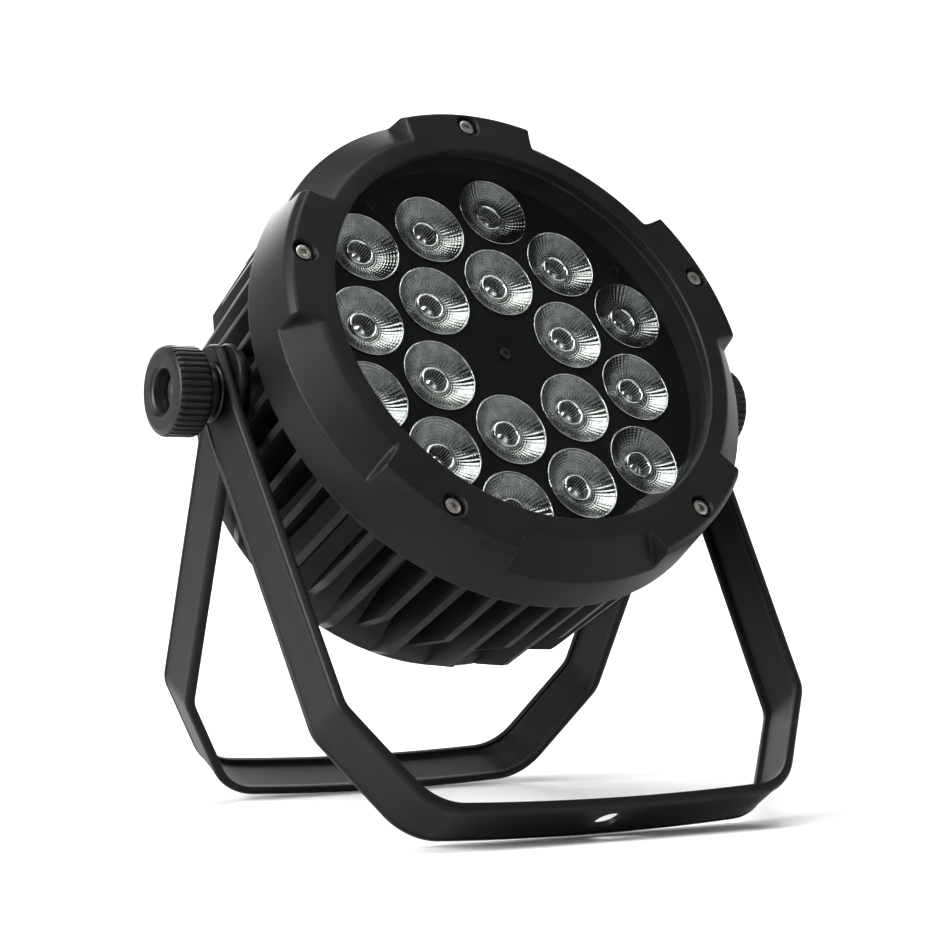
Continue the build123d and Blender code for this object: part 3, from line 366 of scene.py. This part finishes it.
def lens_reflector(name, dark, light):
    """The collimating wall of a lens, seen through its front as a mirror with fine moulding marks."""
    finish = Finish(name, Metallic=1.0)
    ring = Value(finish, finish.node("ShaderNodeUVMap", {"uv_map": "beads"}).outputs[0])
    marks = finish.cells(1000, place=ring)
    patches = finish.noise(4, 2.0)
    finish.colour((dark,) * 3, (light, light, light * 0.97), patches.over(0.3, 0.7))
    finish.rough(marks * 0.06 + 0.05)
    finish.bumps(marks, 0.25, 0.05)
    return finish.material


def lens_well(name):
    """The ridged wall of the well in the middle of a lens, with a painted reflection of the LED chips as light and
    dark stripes in its colour.
    """
    finish = Finish(name, Metallic=0.6, Specular_IOR_Level=0.6)
    ring = Value(finish, finish.node("ShaderNodeUVMap", {"uv_map": "beads"}).outputs[0])
    split = finish.node("ShaderNodeSeparateXYZ", Vector=ring)
    around = Value(finish, split.outputs[0])
    ridges_and_reflection = (around * 2.2).maths("SINE")
    # The light and dark stripes in the colour are a painted reflection of the LED chips; the bump gives the real
    # ridges.
    finish.colour((0.04, 0.04, 0.04), (0.60, 0.60, 0.58), ridges_and_reflection.over(-0.1, 1.0))
    finish.rough(ridges_and_reflection * 0.05 + 0.16)
    finish.bumps(ridges_and_reflection, 0.5, 0.25)
    return finish.material


black_coat = powder_coat("satin black powder coat", 0.75, 0.003)
bracket_coat = powder_coat("bracket powder coat", 0.6, 0.002)
casting_coat = powder_coat("fin powder coat", 0.8, 0.007)
knob_plastic = moulded("knob plastic", (0.004, 0.004, 0.0042), 0.45, 0.38, 0.05, 0.22)
socket_plastic = moulded("socket plastic", (0.014, 0.014, 0.015), 0.4, 0.36)
cap_rubber = moulded("cap rubber", (0.012, 0.012, 0.012), 0.7, 0.55)
button_rubber = moulded("button rubber", (0.03, 0.03, 0.031), 0.5, 0.5)
mask_black = moulded("mask black", (0.0025, 0.0025, 0.0026), 0.5, 0.78, 0.03, 0.05)
stainless = turned_metal("stainless steel", (0.40, 0.38, 0.35), 0.3)
dark_steel = turned_metal("black oxide steel", (0.055, 0.055, 0.06), 0.34)
zinc_steel = turned_metal("zinc plated steel", (0.50, 0.48, 0.44), 0.3)
brass = turned_metal("turned brass", (0.70, 0.52, 0.25), 0.3)
bare_aluminium = turned_metal("pressed aluminium", (0.58, 0.58, 0.59), 0.38, 0.5)
front_pane = pane("front glass", (0.93, 0.95, 0.94))
lens_bowl = lens_reflector("beaded lens", 0.20, 0.27)
# Lighter copy of the lens finish for the rims, lips and domes: a painted highlight for their bright rings.
lens_painted_highlight = lens_reflector("lens painted highlight", 0.55, 0.85)
# The well's striped colour is a painted reflection of the LED chips.
lens_core = lens_well("ridged lens well")
window_tint = moulded("display window", (0.006, 0.008, 0.011), 0.8, 0.14, 0.004, 0.6)
display_glass = moulded("display panel", (0.01, 0.014, 0.02), 2.0, 0.18, 0.004, 0.6)
green_board = circuit_board("control board", (0.012, 0.07, 0.03))
black_board = circuit_board("LED board", (0.006, 0.006, 0.006))
phosphor = moulded("LED phosphor", (0.72, 0.60, 0.22), 0.5, 0.25, 0.02, 0.5)
silicone = moulded("silicone gasket", (0.02, 0.02, 0.02), 0.9, 0.6)
grey_pad = moulded("thermal pad", (0.30, 0.32, 0.34), 0.6, 0.7)
fibre = moulded("fibre disc", (0.05, 0.042, 0.035), 0.5, 0.75, 0.12)
nylon = moulded("nylon spacer", (0.02, 0.02, 0.021), 0.6, 0.45)
acrylic = pane("clear acrylic", (0.95, 0.96, 0.97), 0.03)

FINISHES = {
    "bracket_coat": bracket_coat, "bezel_casting": black_coat, "housing_casting": casting_coat,
    "cover_casting": black_coat, "eye_coat": black_coat, "stainless_screw": stainless, "black_screw": dark_steel,
    "stud_steel": zinc_steel, "washer_steel": dark_steel, "front_glass": front_pane, "gasket_rubber": silicone,
    "thermal_pad": grey_pad, "led_board": black_board, "led_phosphor": phosphor, "holder_plastic": mask_black,
    "lens_acrylic": acrylic, "mask_plastic": mask_black, "pillar_brass": brass, "supply_case": bare_aluminium,
    "display_window": window_tint, "display_module": display_glass, "control_board": green_board,
    "switch_plastic": socket_plastic, "button_rubber": button_rubber, "socket_plastic": socket_plastic,
    "cap_rubber": cap_rubber, "vent_plastic": socket_plastic, "insert_brass": brass, "friction_fibre": fibre,
    "spacer_nylon": nylon, "knob_plastic": knob_plastic,
}
slot_of = {part["node"]: part["material_slot"] for part in frame["record"]["subparts"]}
for node, cad in frame["nodes"].items():
    for place in cad.material_slots:
        place.material = FINISHES[slot_of[node]]

# ---------------------------------------------------------------- front bezel
LUGS = 5
FACE = 67.4
OPENING_R = 100.5
RECESS_R = 110.0
BAND_R, BAND_FRONT = 125.6, 52.8
RECESS_SLOPE = (FACE - BAND_FRONT) / (BAND_R - RECESS_R)
RECESS_HALF_WIDTH = 34.4
RECESS_FLARE = np.tan(np.radians(28.5))
WALL_DRAFT = 2.6
SCREW_CIRCLE_R = 115.8
COUNTERBORE_R = 5.75
COUNTERBORE_DEPTH = 4.3


def front_bezel():
    """Profile turned about the beam. Between the lugs its front is lowered to a cone, through a wall that follows
    the flared plan of each gap; at each screw it is lowered again into a round counterbore."""
    corners = [
        (OPENING_R, 62.4), (OPENING_R, FACE), (121.8, FACE), (124.3, 63.6), (BAND_R, BAND_FRONT), (127.8, 31.0),
        (121.5, 31.0), (121.5, 50.0), (108.6, 50.0), (108.6, 62.4),
    ]
    radii = [0.2, 1.3, 1.2, 1.4, 4.0, 1.2, 0.3, 0.3, 0.3, 0.3]
    hidden = 4.0
    profile = eased(corners, radii, [0.6, 0.6, 0.6, 0.6, 0.9] + [hidden] * 5)
    lug_angles = 90 + np.arange(LUGS) * 360 / LUGS
    half = 180 / LUGS
    fine = [
        np.arange(-3.6, 3.61, 0.2), np.arange(half - 22.0, half - 15.0, 0.25),
        np.arange(15.0 - half, 22.0 - half, 0.25),
    ]
    coarse = [np.arange(-half, half, 1.2)]
    one_lug = np.unique(np.round(np.concatenate(fine + coarse), 2))
    one_lug = one_lug[(one_lug >= -half) & (one_lug < half)]
    angle = np.radians((lug_angles[:, None] + one_lug).ravel())
    radius = profile[:, 0][:, None] + 0 * angle
    depth = profile[:, 1][:, None] + 0 * angle
    # Plan distance beyond the wall of the nearest gap, positive inside the gap.
    from_gap = (np.degrees(angle) - lug_angles[0]) % (2 * half) - half
    along = radius * np.cos(np.radians(from_gap))
    sideways = np.abs(radius * np.sin(np.radians(from_gap)))
    start = np.sqrt(RECESS_R**2 - RECESS_HALF_WIDTH**2)
    inside = RECESS_HALF_WIDTH + (along - start) * RECESS_FLARE - sideways
    gap = smooth_step(inside, -0.3, WALL_DRAFT)
    slope_start = radius - RECESS_R
    cone = FACE - RECESS_SLOPE * (slope_start + np.sqrt(slope_start**2 + 0.8)) / 2
    # Only the front and the flank down to the band are lowered, and not the hidden inner side.
    order = np.arange(len(profile))
    facing = (order >= np.argmax(profile[:, 1]) - 8) & (order < np.argmax(profile[:, 0]))
    facing &= (profile[:, 1] > BAND_FRONT - 0.5) & (profile[:, 0] > OPENING_R - 0.5)
    lowered = np.clip(depth - cone, 0, None) * gap
    depth = depth - lowered * facing[:, None]
    # Counterbores at the lugs' screws.
    from_lug = (np.degrees(angle) - lug_angles[0] + half) % (2 * half) - half
    to_screw = np.hypot(
        radius * np.cos(np.radians(from_lug)) - SCREW_CIRCLE_R, radius * np.sin(np.radians(from_lug))
    )
    bore = 1 - smooth_step(to_screw, COUNTERBORE_R - 0.25, COUNTERBORE_R + 0.35)
    on_face = (np.abs(profile[:, 1] - FACE) < 2.2) & (profile[:, 0] > RECESS_R - 1) & (profile[:, 0] < 123)
    depth = depth - COUNTERBORE_DEPTH * bore * on_face[:, None]
    piece = grid_piece("bezel_casting", round_head(radius, angle, depth), across=True, down=True)
    return finished(piece, "head", black_coat, "bezel_casting", "front_bezel")


# ---------------------------------------------------------------- brackets
RIM_DEPTH = 4.6
WALL = 3.0
HALF_WIDTH = 15.0
EAR_RISE = 22.0
EAR_CORNER_R = 11.0
EAR_FLAT = 20.0
KNEE_R = 18.0
FOOT_R = 30.0
BAR_HOLE_R = 6.5
# Each bracket's ear face, and its knee and foot as (distance across, distance from the pivot).
FRONT_EAR_X, FRONT_KNEE, FRONT_FOOT = 135.4, (127.7, 172.8), (96.1, 224.8)
REAR_EAR_X, REAR_KNEE, REAR_FOOT = 130.5, (120.9, 157.4), (88.1, 208.9)
BAR_BOW = 3.2


def arc_between(before, corner, after, radius, steps):
    """Round bend of a radius between two straights, with the direction at each point."""
    before, corner, after = (np.asarray(point, float) for point in (before, corner, after))
    back = (before - corner) / np.linalg.norm(before - corner)
    ahead = (after - corner) / np.linalg.norm(after - corner)
    half = np.arccos(np.clip(back @ ahead, -1, 1)) / 2
    middle = corner + (back + ahead) / np.linalg.norm(back + ahead) * radius / np.sin(half)
    start = corner + back * radius / np.tan(half) - middle
    end = corner + ahead * radius / np.tan(half) - middle
    t = np.linspace(0, 1, steps)[:, None]
    sweep = np.arccos(np.clip(start @ end / radius**2, -1, 1))
    return middle + (np.sin((1 - t) * sweep) * start + np.sin(t * sweep) * end) / np.sin(sweep)


def bracket(name, mount, ear_x, knee, foot, bow):
    """Channel profile carried along a U whose bends are arcs. Towards each ear's top the profile narrows, so that
    the ear ends in two rounded corners."""
    down = np.array(mounts[mount]["axis"])
    forward = np.cross(down, ACROSS)
    # Outer path from the left ear's top round to the right one's, in the bracket's own plane.
    rise = EAR_CORNER_R * np.sin(np.linspace(np.pi / 2, 0, 14))
    top = np.stack([np.full(14, -ear_x), -(EAR_RISE - EAR_CORNER_R + rise)], axis=-1)
    flat = np.stack([np.full(6, -ear_x), np.linspace(-(EAR_RISE - EAR_CORNER_R) + 1, EAR_FLAT - 3, 6)], axis=-1)
    ear = (-ear_x, EAR_FLAT)
    left_knee, left_foot = (-knee[0], knee[1]), (-foot[0], foot[1])
    sagitta_r = (foot[0] ** 2 + bow**2) / (2 * bow)
    bar_x = np.linspace(-foot[0] + FOOT_R * 0.5, 0, 16)
    bar = np.stack([bar_x, foot[1] + bow - sagitta_r + np.sqrt(sagitta_r**2 - bar_x**2)], axis=-1)
    leg = np.linspace(0.12, 0.86, 8)[:, None] * (np.array(left_knee) - ear) + ear
    half_path = np.concatenate([
        top, flat, arc_between((-ear_x, 0), ear, left_knee, 60.0, 4), leg,
        arc_between(ear, left_knee, left_foot, KNEE_R, 10),
        arc_between(left_knee, left_foot, bar[0], FOOT_R, 14), bar,
    ])
    mirrored = half_path[-2::-1] * (-1, 1)
    path = np.concatenate([half_path, mirrored])
    heading = np.gradient(path, axis=0)
    heading[:16] = (0, 1)
    heading[-16:] = (0, -1)
    heading /= np.linalg.norm(heading, axis=-1)[:, None]
    inward = np.stack([heading[:, 1], -heading[:, 0]], axis=-1)
    above = -path[:, 1] - (EAR_RISE - EAR_CORNER_R)
    narrowed = HALF_WIDTH - EAR_CORNER_R + np.sqrt(np.clip(EAR_CORNER_R**2 - np.clip(above, 0, None) ** 2, 0, None))
    # Channel profile: (distance across the strip, depth inwards), with a shallow step near both edges.
    rim = 3.0
    step_at, step = 3.2, 0.42
    half = HALF_WIDTH
    corners = [
        (-half, RIM_DEPTH), (-half, 0.0), (-half + step_at, 0.0), (-half + step_at + 0.5, step),
        (half - step_at - 0.5, step), (half - step_at, 0.0), (half, 0.0), (half, RIM_DEPTH), (half - rim, RIM_DEPTH),
        (half - rim, WALL), (-half + rim, WALL), (-half + rim, RIM_DEPTH),
    ]
    radii = [0.7, 3.1, 0.25, 0.25, 0.25, 0.25, 3.1, 0.7, 0.6, 0.6, 0.6, 0.6]
    profile = eased(corners, radii, 4.0)
    from_edge = half - np.abs(profile[:, 0])
    share = profile[:, 0] / half
    across = np.where(
        from_edge[None] < 4.0,
        np.sign(share)[None] * np.clip(narrowed[:, None] - from_edge[None], 0, None),
        share[None] * half * (narrowed[:, None] - 4.0) / (half - 4.0) + 0 * narrowed[:, None],
    )
    depth = profile[:, 1][None] + 0 * across
    points = (
        PIVOT
        + (path[:, 0][:, None] + inward[:, 0][:, None] * depth)[..., None] * ACROSS
        + (path[:, 1][:, None] + inward[:, 1][:, None] * depth)[..., None] * down
        + across[..., None] * forward
    )
    # Both ends close onto their middles.
    ends = [points[i].mean(axis=0)[None, None] + 0 * points[:1] for i in (0, -1)]
    points = np.concatenate([ends[0], points, ends[1]])
    piece = grid_piece(name + "_pressing", points, across=True)
    outwards_first(piece)
    drill(piece, np.array(mounts[mount]["pos_m"]) / MM, down, BAR_HOLE_R, 30.0)
    return finished(piece, name, bracket_coat, "bracket_coat", name)


def outwards_first(piece):
    """Turns a closed mesh's faces outwards, after its doubled points are merged."""
    shape = bmesh.new()
    shape.from_mesh(piece.data)
    bmesh.ops.remove_doubles(shape, verts=shape.verts, dist=0.000002)
    bmesh.ops.recalc_face_normals(shape, faces=shape.faces)
    shape.to_mesh(piece.data)
    shape.free()


def drill(piece, centre, axis, radius, length):
    """Round hole through a piece, cut with a closed tube along an axis."""
    turn = np.linspace(0, 2 * np.pi, 48, endpoint=False)
    side = np.cross(axis, ACROSS)
    ring = np.cos(turn)[:, None] * ACROSS * radius + np.sin(turn)[:, None] * side * radius
    ends = np.array([-length / 2, length / 2])
    tube = centre + ring[None] + ends[:, None, None] * axis
    caps = np.concatenate([centre + ends[:1, None, None] * axis + 0 * ring[None], tube,
                           centre + ends[1:, None, None] * axis + 0 * ring[None]])
    cutter = grid_piece("cutter", caps, across=True)
    outwards_first(cutter)
    cut = piece.modifiers.new("hole", "BOOLEAN")
    cut.operation = "DIFFERENCE"
    cut.solver = "EXACT"
    cut.object = cutter
    with_modifiers_applied(piece)
    bpy.data.objects.remove(cutter)
    piece.data.polygons.foreach_set("use_smooth", np.ones(len(piece.data.polygons), bool))
    piece.data.set_sharp_from_angle(angle=np.radians(40))


# ---------------------------------------------------------------- knobs
KNOB_START, NECK_START, KNOB_END = 143.5, 137.0, 161.1
KNOB_R, NECK_R = 21.0, 11.5
KNOB_RIBS = 40


def knob(side_name, side):
    """Profile turned about the pivot axis: neck, ribbed rim, chamfered face and a well. On the rim the radius
    falls by the depth of a groove where a steepened cosine of the angle is low."""
    corners = [
        (5.06, NECK_START), (NECK_R, NECK_START), (NECK_R, KNOB_START - 1.4), (NECK_R + 1.6, KNOB_START - 1.0),
        (NECK_R + 1.6, KNOB_START), (KNOB_R - 2.2, KNOB_START), (KNOB_R, KNOB_START + 1.8),
        (KNOB_R, KNOB_END - 2.2), (KNOB_R - 1.1, KNOB_END - 0.7), (KNOB_R - 2.4, KNOB_END - 0.25),
        (KNOB_R - 3.2, KNOB_END), (11.9, KNOB_END), (11.4, KNOB_END - 0.9), (10.4, KNOB_END - 1.5),
        (9.9, KNOB_END - 3.5), (9.8, 150.1), (5.06, 150.1),
    ]
    radii = [0.1, 0.5, 0.2, 0.2, 0.5, 1.0, 1.0, 0.9, 0.5, 0.4, 0.4, 0.4, 0.4, 0.4, 0.4, 0.3, 0.1]
    profile = eased(corners, radii, 1.6)
    angle = np.linspace(0, 2 * np.pi, KNOB_RIBS * 14, endpoint=False)
    radius, distance = profile[:, 0][:, None] + 0 * angle, profile[:, 1][:, None] + 0 * angle
    wave = np.tanh(3.2 * (np.cos(KNOB_RIBS * angle) + 0.45)) / 2 + 0.5
    on_rim = smooth_step(radius, KNOB_R - 1.9, KNOB_R - 0.5) * smooth_step(KNOB_END - 1.1 - distance, 0, 0.5)
    radius = radius - (1 - wave) * on_rim * 1.15
    points = PIVOT + np.stack([side * distance, radius * np.cos(angle), radius * np.sin(angle)], axis=-1)
    piece = grid_piece(side_name + "_knob_moulding", points, across=True, down=True)
    outwards_first(piece)
    return finished(piece, side_name + "_knob", knob_plastic, "knob_plastic", side_name + "_knob")


# ---------------------------------------------------------------- lenses
LED_PITCH = 42.0
LED_TURN = np.radians(17.9)
LENS_R = 18.75
LENS_FRONT = 44.0
BOWL_INNER_R, BOWL_FALL = 7.4, 5.2
WELL_R, CUP_R = 5.6, 4.62
LIP_TOP, WELL_FLOOR, CUP_RISE = 39.8, 33.6, 2.6
BEAD_RINGS, BEADS_ROUND, BEAD_HEIGHT = 9, 44, 0.32


def lens_places():
    """Hexagonal pattern of two rings with its middle left free."""
    steps = np.array([(i, j) for i in range(-2, 3) for j in range(-2, 3) if abs(i + j) <= 2 and (i, j) != (0, 0)])
    first = np.array([np.cos(LED_TURN), np.sin(LED_TURN)])
    second = np.array([np.cos(LED_TURN + np.pi / 3), np.sin(LED_TURN + np.pi / 3)])
    return LED_PITCH * (steps[:, :1] * first + steps[:, 1:] * second)


def turned_copies(name, profile, columns, places, rings=0, beads=0):
    """The same turned profile of (radius, depth) points at every lens, as one mesh with a UV map that counts
    millimetres round and along the profile. Beads rise from it as the product of a sine round and one along."""
    angle = np.linspace(0, 2 * np.pi, columns + 1)
    rows = len(profile)
    radius = profile[:, 0][:, None] + 0 * angle
    depth = profile[:, 1][:, None] + 0 * angle
    if beads:
        along_row = np.abs(np.sin(np.linspace(0, rings * np.pi, rows)))
        depth = depth + BEAD_HEIGHT * along_row[:, None] * np.abs(np.sin(beads * angle / 2))
    along = np.concatenate([[0], np.cumsum(np.linalg.norm(np.diff(profile, axis=0), axis=1))])
    points, faces = [], []
    grid = np.arange(rows * (columns + 1)).reshape(rows, columns + 1)
    quads = np.stack([grid[:-1, :-1], grid[:-1, 1:], grid[1:, 1:], grid[1:, :-1]], axis=-1).reshape(-1, 4)
    for number, (across, up) in enumerate(places):
        points.append(on_head(across + radius * np.cos(angle), up + radius * np.sin(angle), depth).reshape(-1, 3))
        faces.append(quads + number * rows * (columns + 1))
    piece = mesh_piece(name, np.concatenate(points), np.concatenate(faces))
    around = angle[None] * 12.0 + 0 * radius
    counted = np.stack([around, along[:, None] * 0.95 + 0 * radius], axis=-1).reshape(-1, 2)
    counted = np.tile(counted, (len(places), 1))
    corner = np.zeros(len(piece.data.loops), np.int32)
    piece.data.loops.foreach_get("vertex_index", corner)
    layer = piece.data.uv_layers.new(name="beads")
    layer.data.foreach_set("uv", counted[corner].astype(np.float32).ravel())
    return piece


def lenses():
    """Each lens is a beaded bowl with a rim, a ridged well in its middle and a clear dome over the LED. The rim, the
    well's lip and the dome are given a lighter copy of the bowl's mirror finish as a painted highlight.
    """
    places = lens_places()
    t = np.linspace(0, 1, 3 * BEAD_RINGS + 1)
    bowl_r = LENS_R - 0.5
    bowl = np.stack(
        [bowl_r - (bowl_r - BOWL_INNER_R) * t, LENS_FRONT - 0.5 - BOWL_FALL * np.sin(t * np.pi / 2)], axis=-1
    )
    rim = eased([(LENS_R - 0.75, LENS_FRONT - 0.7), (LENS_R - 0.6, LENS_FRONT), (LENS_R, LENS_FRONT),
                 (LENS_R, LENS_FRONT - 2.6)], 0.2, 1.0, closed=False)
    lip = eased([(7.5, 38.2), (7.0, LIP_TOP), (6.1, LIP_TOP), (WELL_R, 39.0)], 0.6, 1.0, closed=False)
    well = eased([(WELL_R, 39.1), (5.2, 34.4), (4.6, WELL_FLOOR)], 0.5, 0.8, closed=False)
    s = np.linspace(0, np.pi / 2, 8)
    cup = np.stack([CUP_R * np.cos(s), WELL_FLOOR + CUP_RISE * np.sin(s)], axis=-1)
    parts = [
        ("lens_bowls", bowl, 4 * BEADS_ROUND, lens_bowl, (BEAD_RINGS, BEADS_ROUND)),
        ("lens_rims", rim, 60, lens_painted_highlight, ()), ("lens_lips", lip, 40, lens_painted_highlight, ()),
        ("lens_wells", well, 40, lens_core, ()), ("lens_domes", cup, 32, lens_painted_highlight, ()),
    ]
    for name, profile, columns, material, pattern in parts:
        piece = turned_copies(name, profile, columns, places, *pattern)
        finished(piece, "head", material, "lens_acrylic", "lenses")


front_bezel()
bracket("front_bracket", "front_bar_hole", FRONT_EAR_X, FRONT_KNEE, FRONT_FOOT, BAR_BOW)
bracket("rear_bracket", "rear_bar_hole", REAR_EAR_X, REAR_KNEE, REAR_FOOT, BAR_BOW)
knob("left", -1)
knob("right", 1)
lenses()
EASED = {
    "heatsink_housing": 0.35, "rear_cover": 0.5, "socket_caps": 0.8, "vent_valve": 0.5, "safety_eye": 0.6,
    "power_inlet": 0.4, "power_outlet": 0.4, "data_inlet": 0.4, "data_outlet": 0.4, "bezel_screws": 0.3,
    "cover_screws": 0.35, "mask_screws": 0.25, "socket_screws": 0.25, "eye_screws": 0.25, "left_washer": 0.3,
    "right_washer": 0.3, "left_knob_stud": 0.35, "right_knob_stud": 0.35, "menu_button": 0.4, "down_button": 0.4,
    "up_button": 0.4, "enter_button": 0.4, "ear_spacers": 0.2,
}
for node, width in EASED.items():
    eased_copy(node, width, FINISHES[slot_of[node]], slot_of[node])

# ---------------------------------------------------------------- floor, lights and camera
VIEW_AZIMUTH = np.radians(-32.35)
VIEW_ELEVATION = np.radians(-0.39)
VIEW_ROLL = np.radians(0.57)
VIEW_DISTANCE = 1237.9
VIEW_OFFSET = (-6.43, 36.24)
LENS_LENGTH = 96.32


def camera():
    """Camera that looks at the pivot from the left front, a little below it, slightly rolled."""
    right = np.array([np.cos(VIEW_AZIMUTH), np.sin(VIEW_AZIMUTH), 0])
    back = np.array([np.sin(VIEW_AZIMUTH) * np.cos(VIEW_ELEVATION), -np.cos(VIEW_AZIMUTH) * np.cos(VIEW_ELEVATION),
                     np.sin(VIEW_ELEVATION)])
    up = np.cross(back, right)
    rolled_right = right * np.cos(VIEW_ROLL) + up * np.sin(VIEW_ROLL)
    rolled_up = up * np.cos(VIEW_ROLL) - right * np.sin(VIEW_ROLL)
    centre = PIVOT + VIEW_DISTANCE * back - VIEW_OFFSET[0] * rolled_right - VIEW_OFFSET[1] * rolled_up
    data = bpy.data.cameras.new("camera")
    data.lens = LENS_LENGTH
    data.sensor_width = 36.0
    view = bpy.data.objects.new("camera", data)
    turn = Matrix([rolled_right, rolled_up, back]).transposed().to_4x4()
    view.matrix_world = Matrix.Translation(Vector(centre * MM)) @ turn
    bpy.context.scene.collection.objects.link(view)
    bpy.context.scene.camera = view


def backdrop():
    """Pale sheet that lies on the floor and rises behind the object in one wide curve, all round a circle."""
    angle = np.linspace(0, 2 * np.pi, 97)
    s = np.linspace(0, np.pi / 2, 16)
    radius = np.concatenate([[0, 800, 1800], 2600 + 900 * np.sin(s), [3500]])
    height = np.concatenate([[0, 0, 0], 900 - 900 * np.cos(s), [2600]]) - 0.4
    radius, height = radius[:, None] + 0 * angle, height[:, None] + 0 * angle
    points = np.stack([radius * np.cos(angle), radius * np.sin(angle), height], axis=-1)
    sheet = grid_piece("studio_sheet", points)
    finish = Finish("pale studio sheet", Roughness=0.9, Specular_IOR_Level=0.1)
    finish.colour((0.70, 0.70, 0.70), (0.72, 0.72, 0.72), finish.noise(600, 1.0))
    sheet.data.materials.append(finish.material)


def soft_light(name, place, target, size, power):
    """Rectangular softbox that faces a target."""
    data = bpy.data.lights.new(name, "AREA")
    data.shape = "RECTANGLE"
    data.size, data.size_y = size
    data.energy = power
    light = bpy.data.objects.new(name, data)
    light.location = place
    light.rotation_euler = (Vector(target) - Vector(place)).to_track_quat("-Z", "Y").to_euler()
    bpy.context.scene.collection.objects.link(light)


camera()
backdrop()
world = bpy.data.worlds.new("studio")
world.use_nodes = True
world.node_tree.nodes["Background"].inputs["Color"].default_value = (1, 1, 1, 1)
world.node_tree.nodes["Background"].inputs["Strength"].default_value = 0.08
bpy.context.scene.world = world
bpy.context.scene.view_settings.view_transform = "Standard"
aim = (0, 0, 0.2)
soft_light("top_softbox", (-0.2, -0.2, 1.9), aim, (1.6, 1.2), 40)
soft_light("left_softbox", (-1.9, -0.1, 0.9), aim, (0.9, 1.4), 96)
soft_light("right_softbox", (1.6, -1.3, 1.2), aim, (0.7, 1.2), 3)
soft_light("back_softbox", (0.6, 1.9, 1.2), aim, (1.4, 0.8), 34)
soft_light("wall_softbox", (0.9, 1.5, 1.7), (2.0, 3.1, 0.5), (2.2, 0.8), 90)
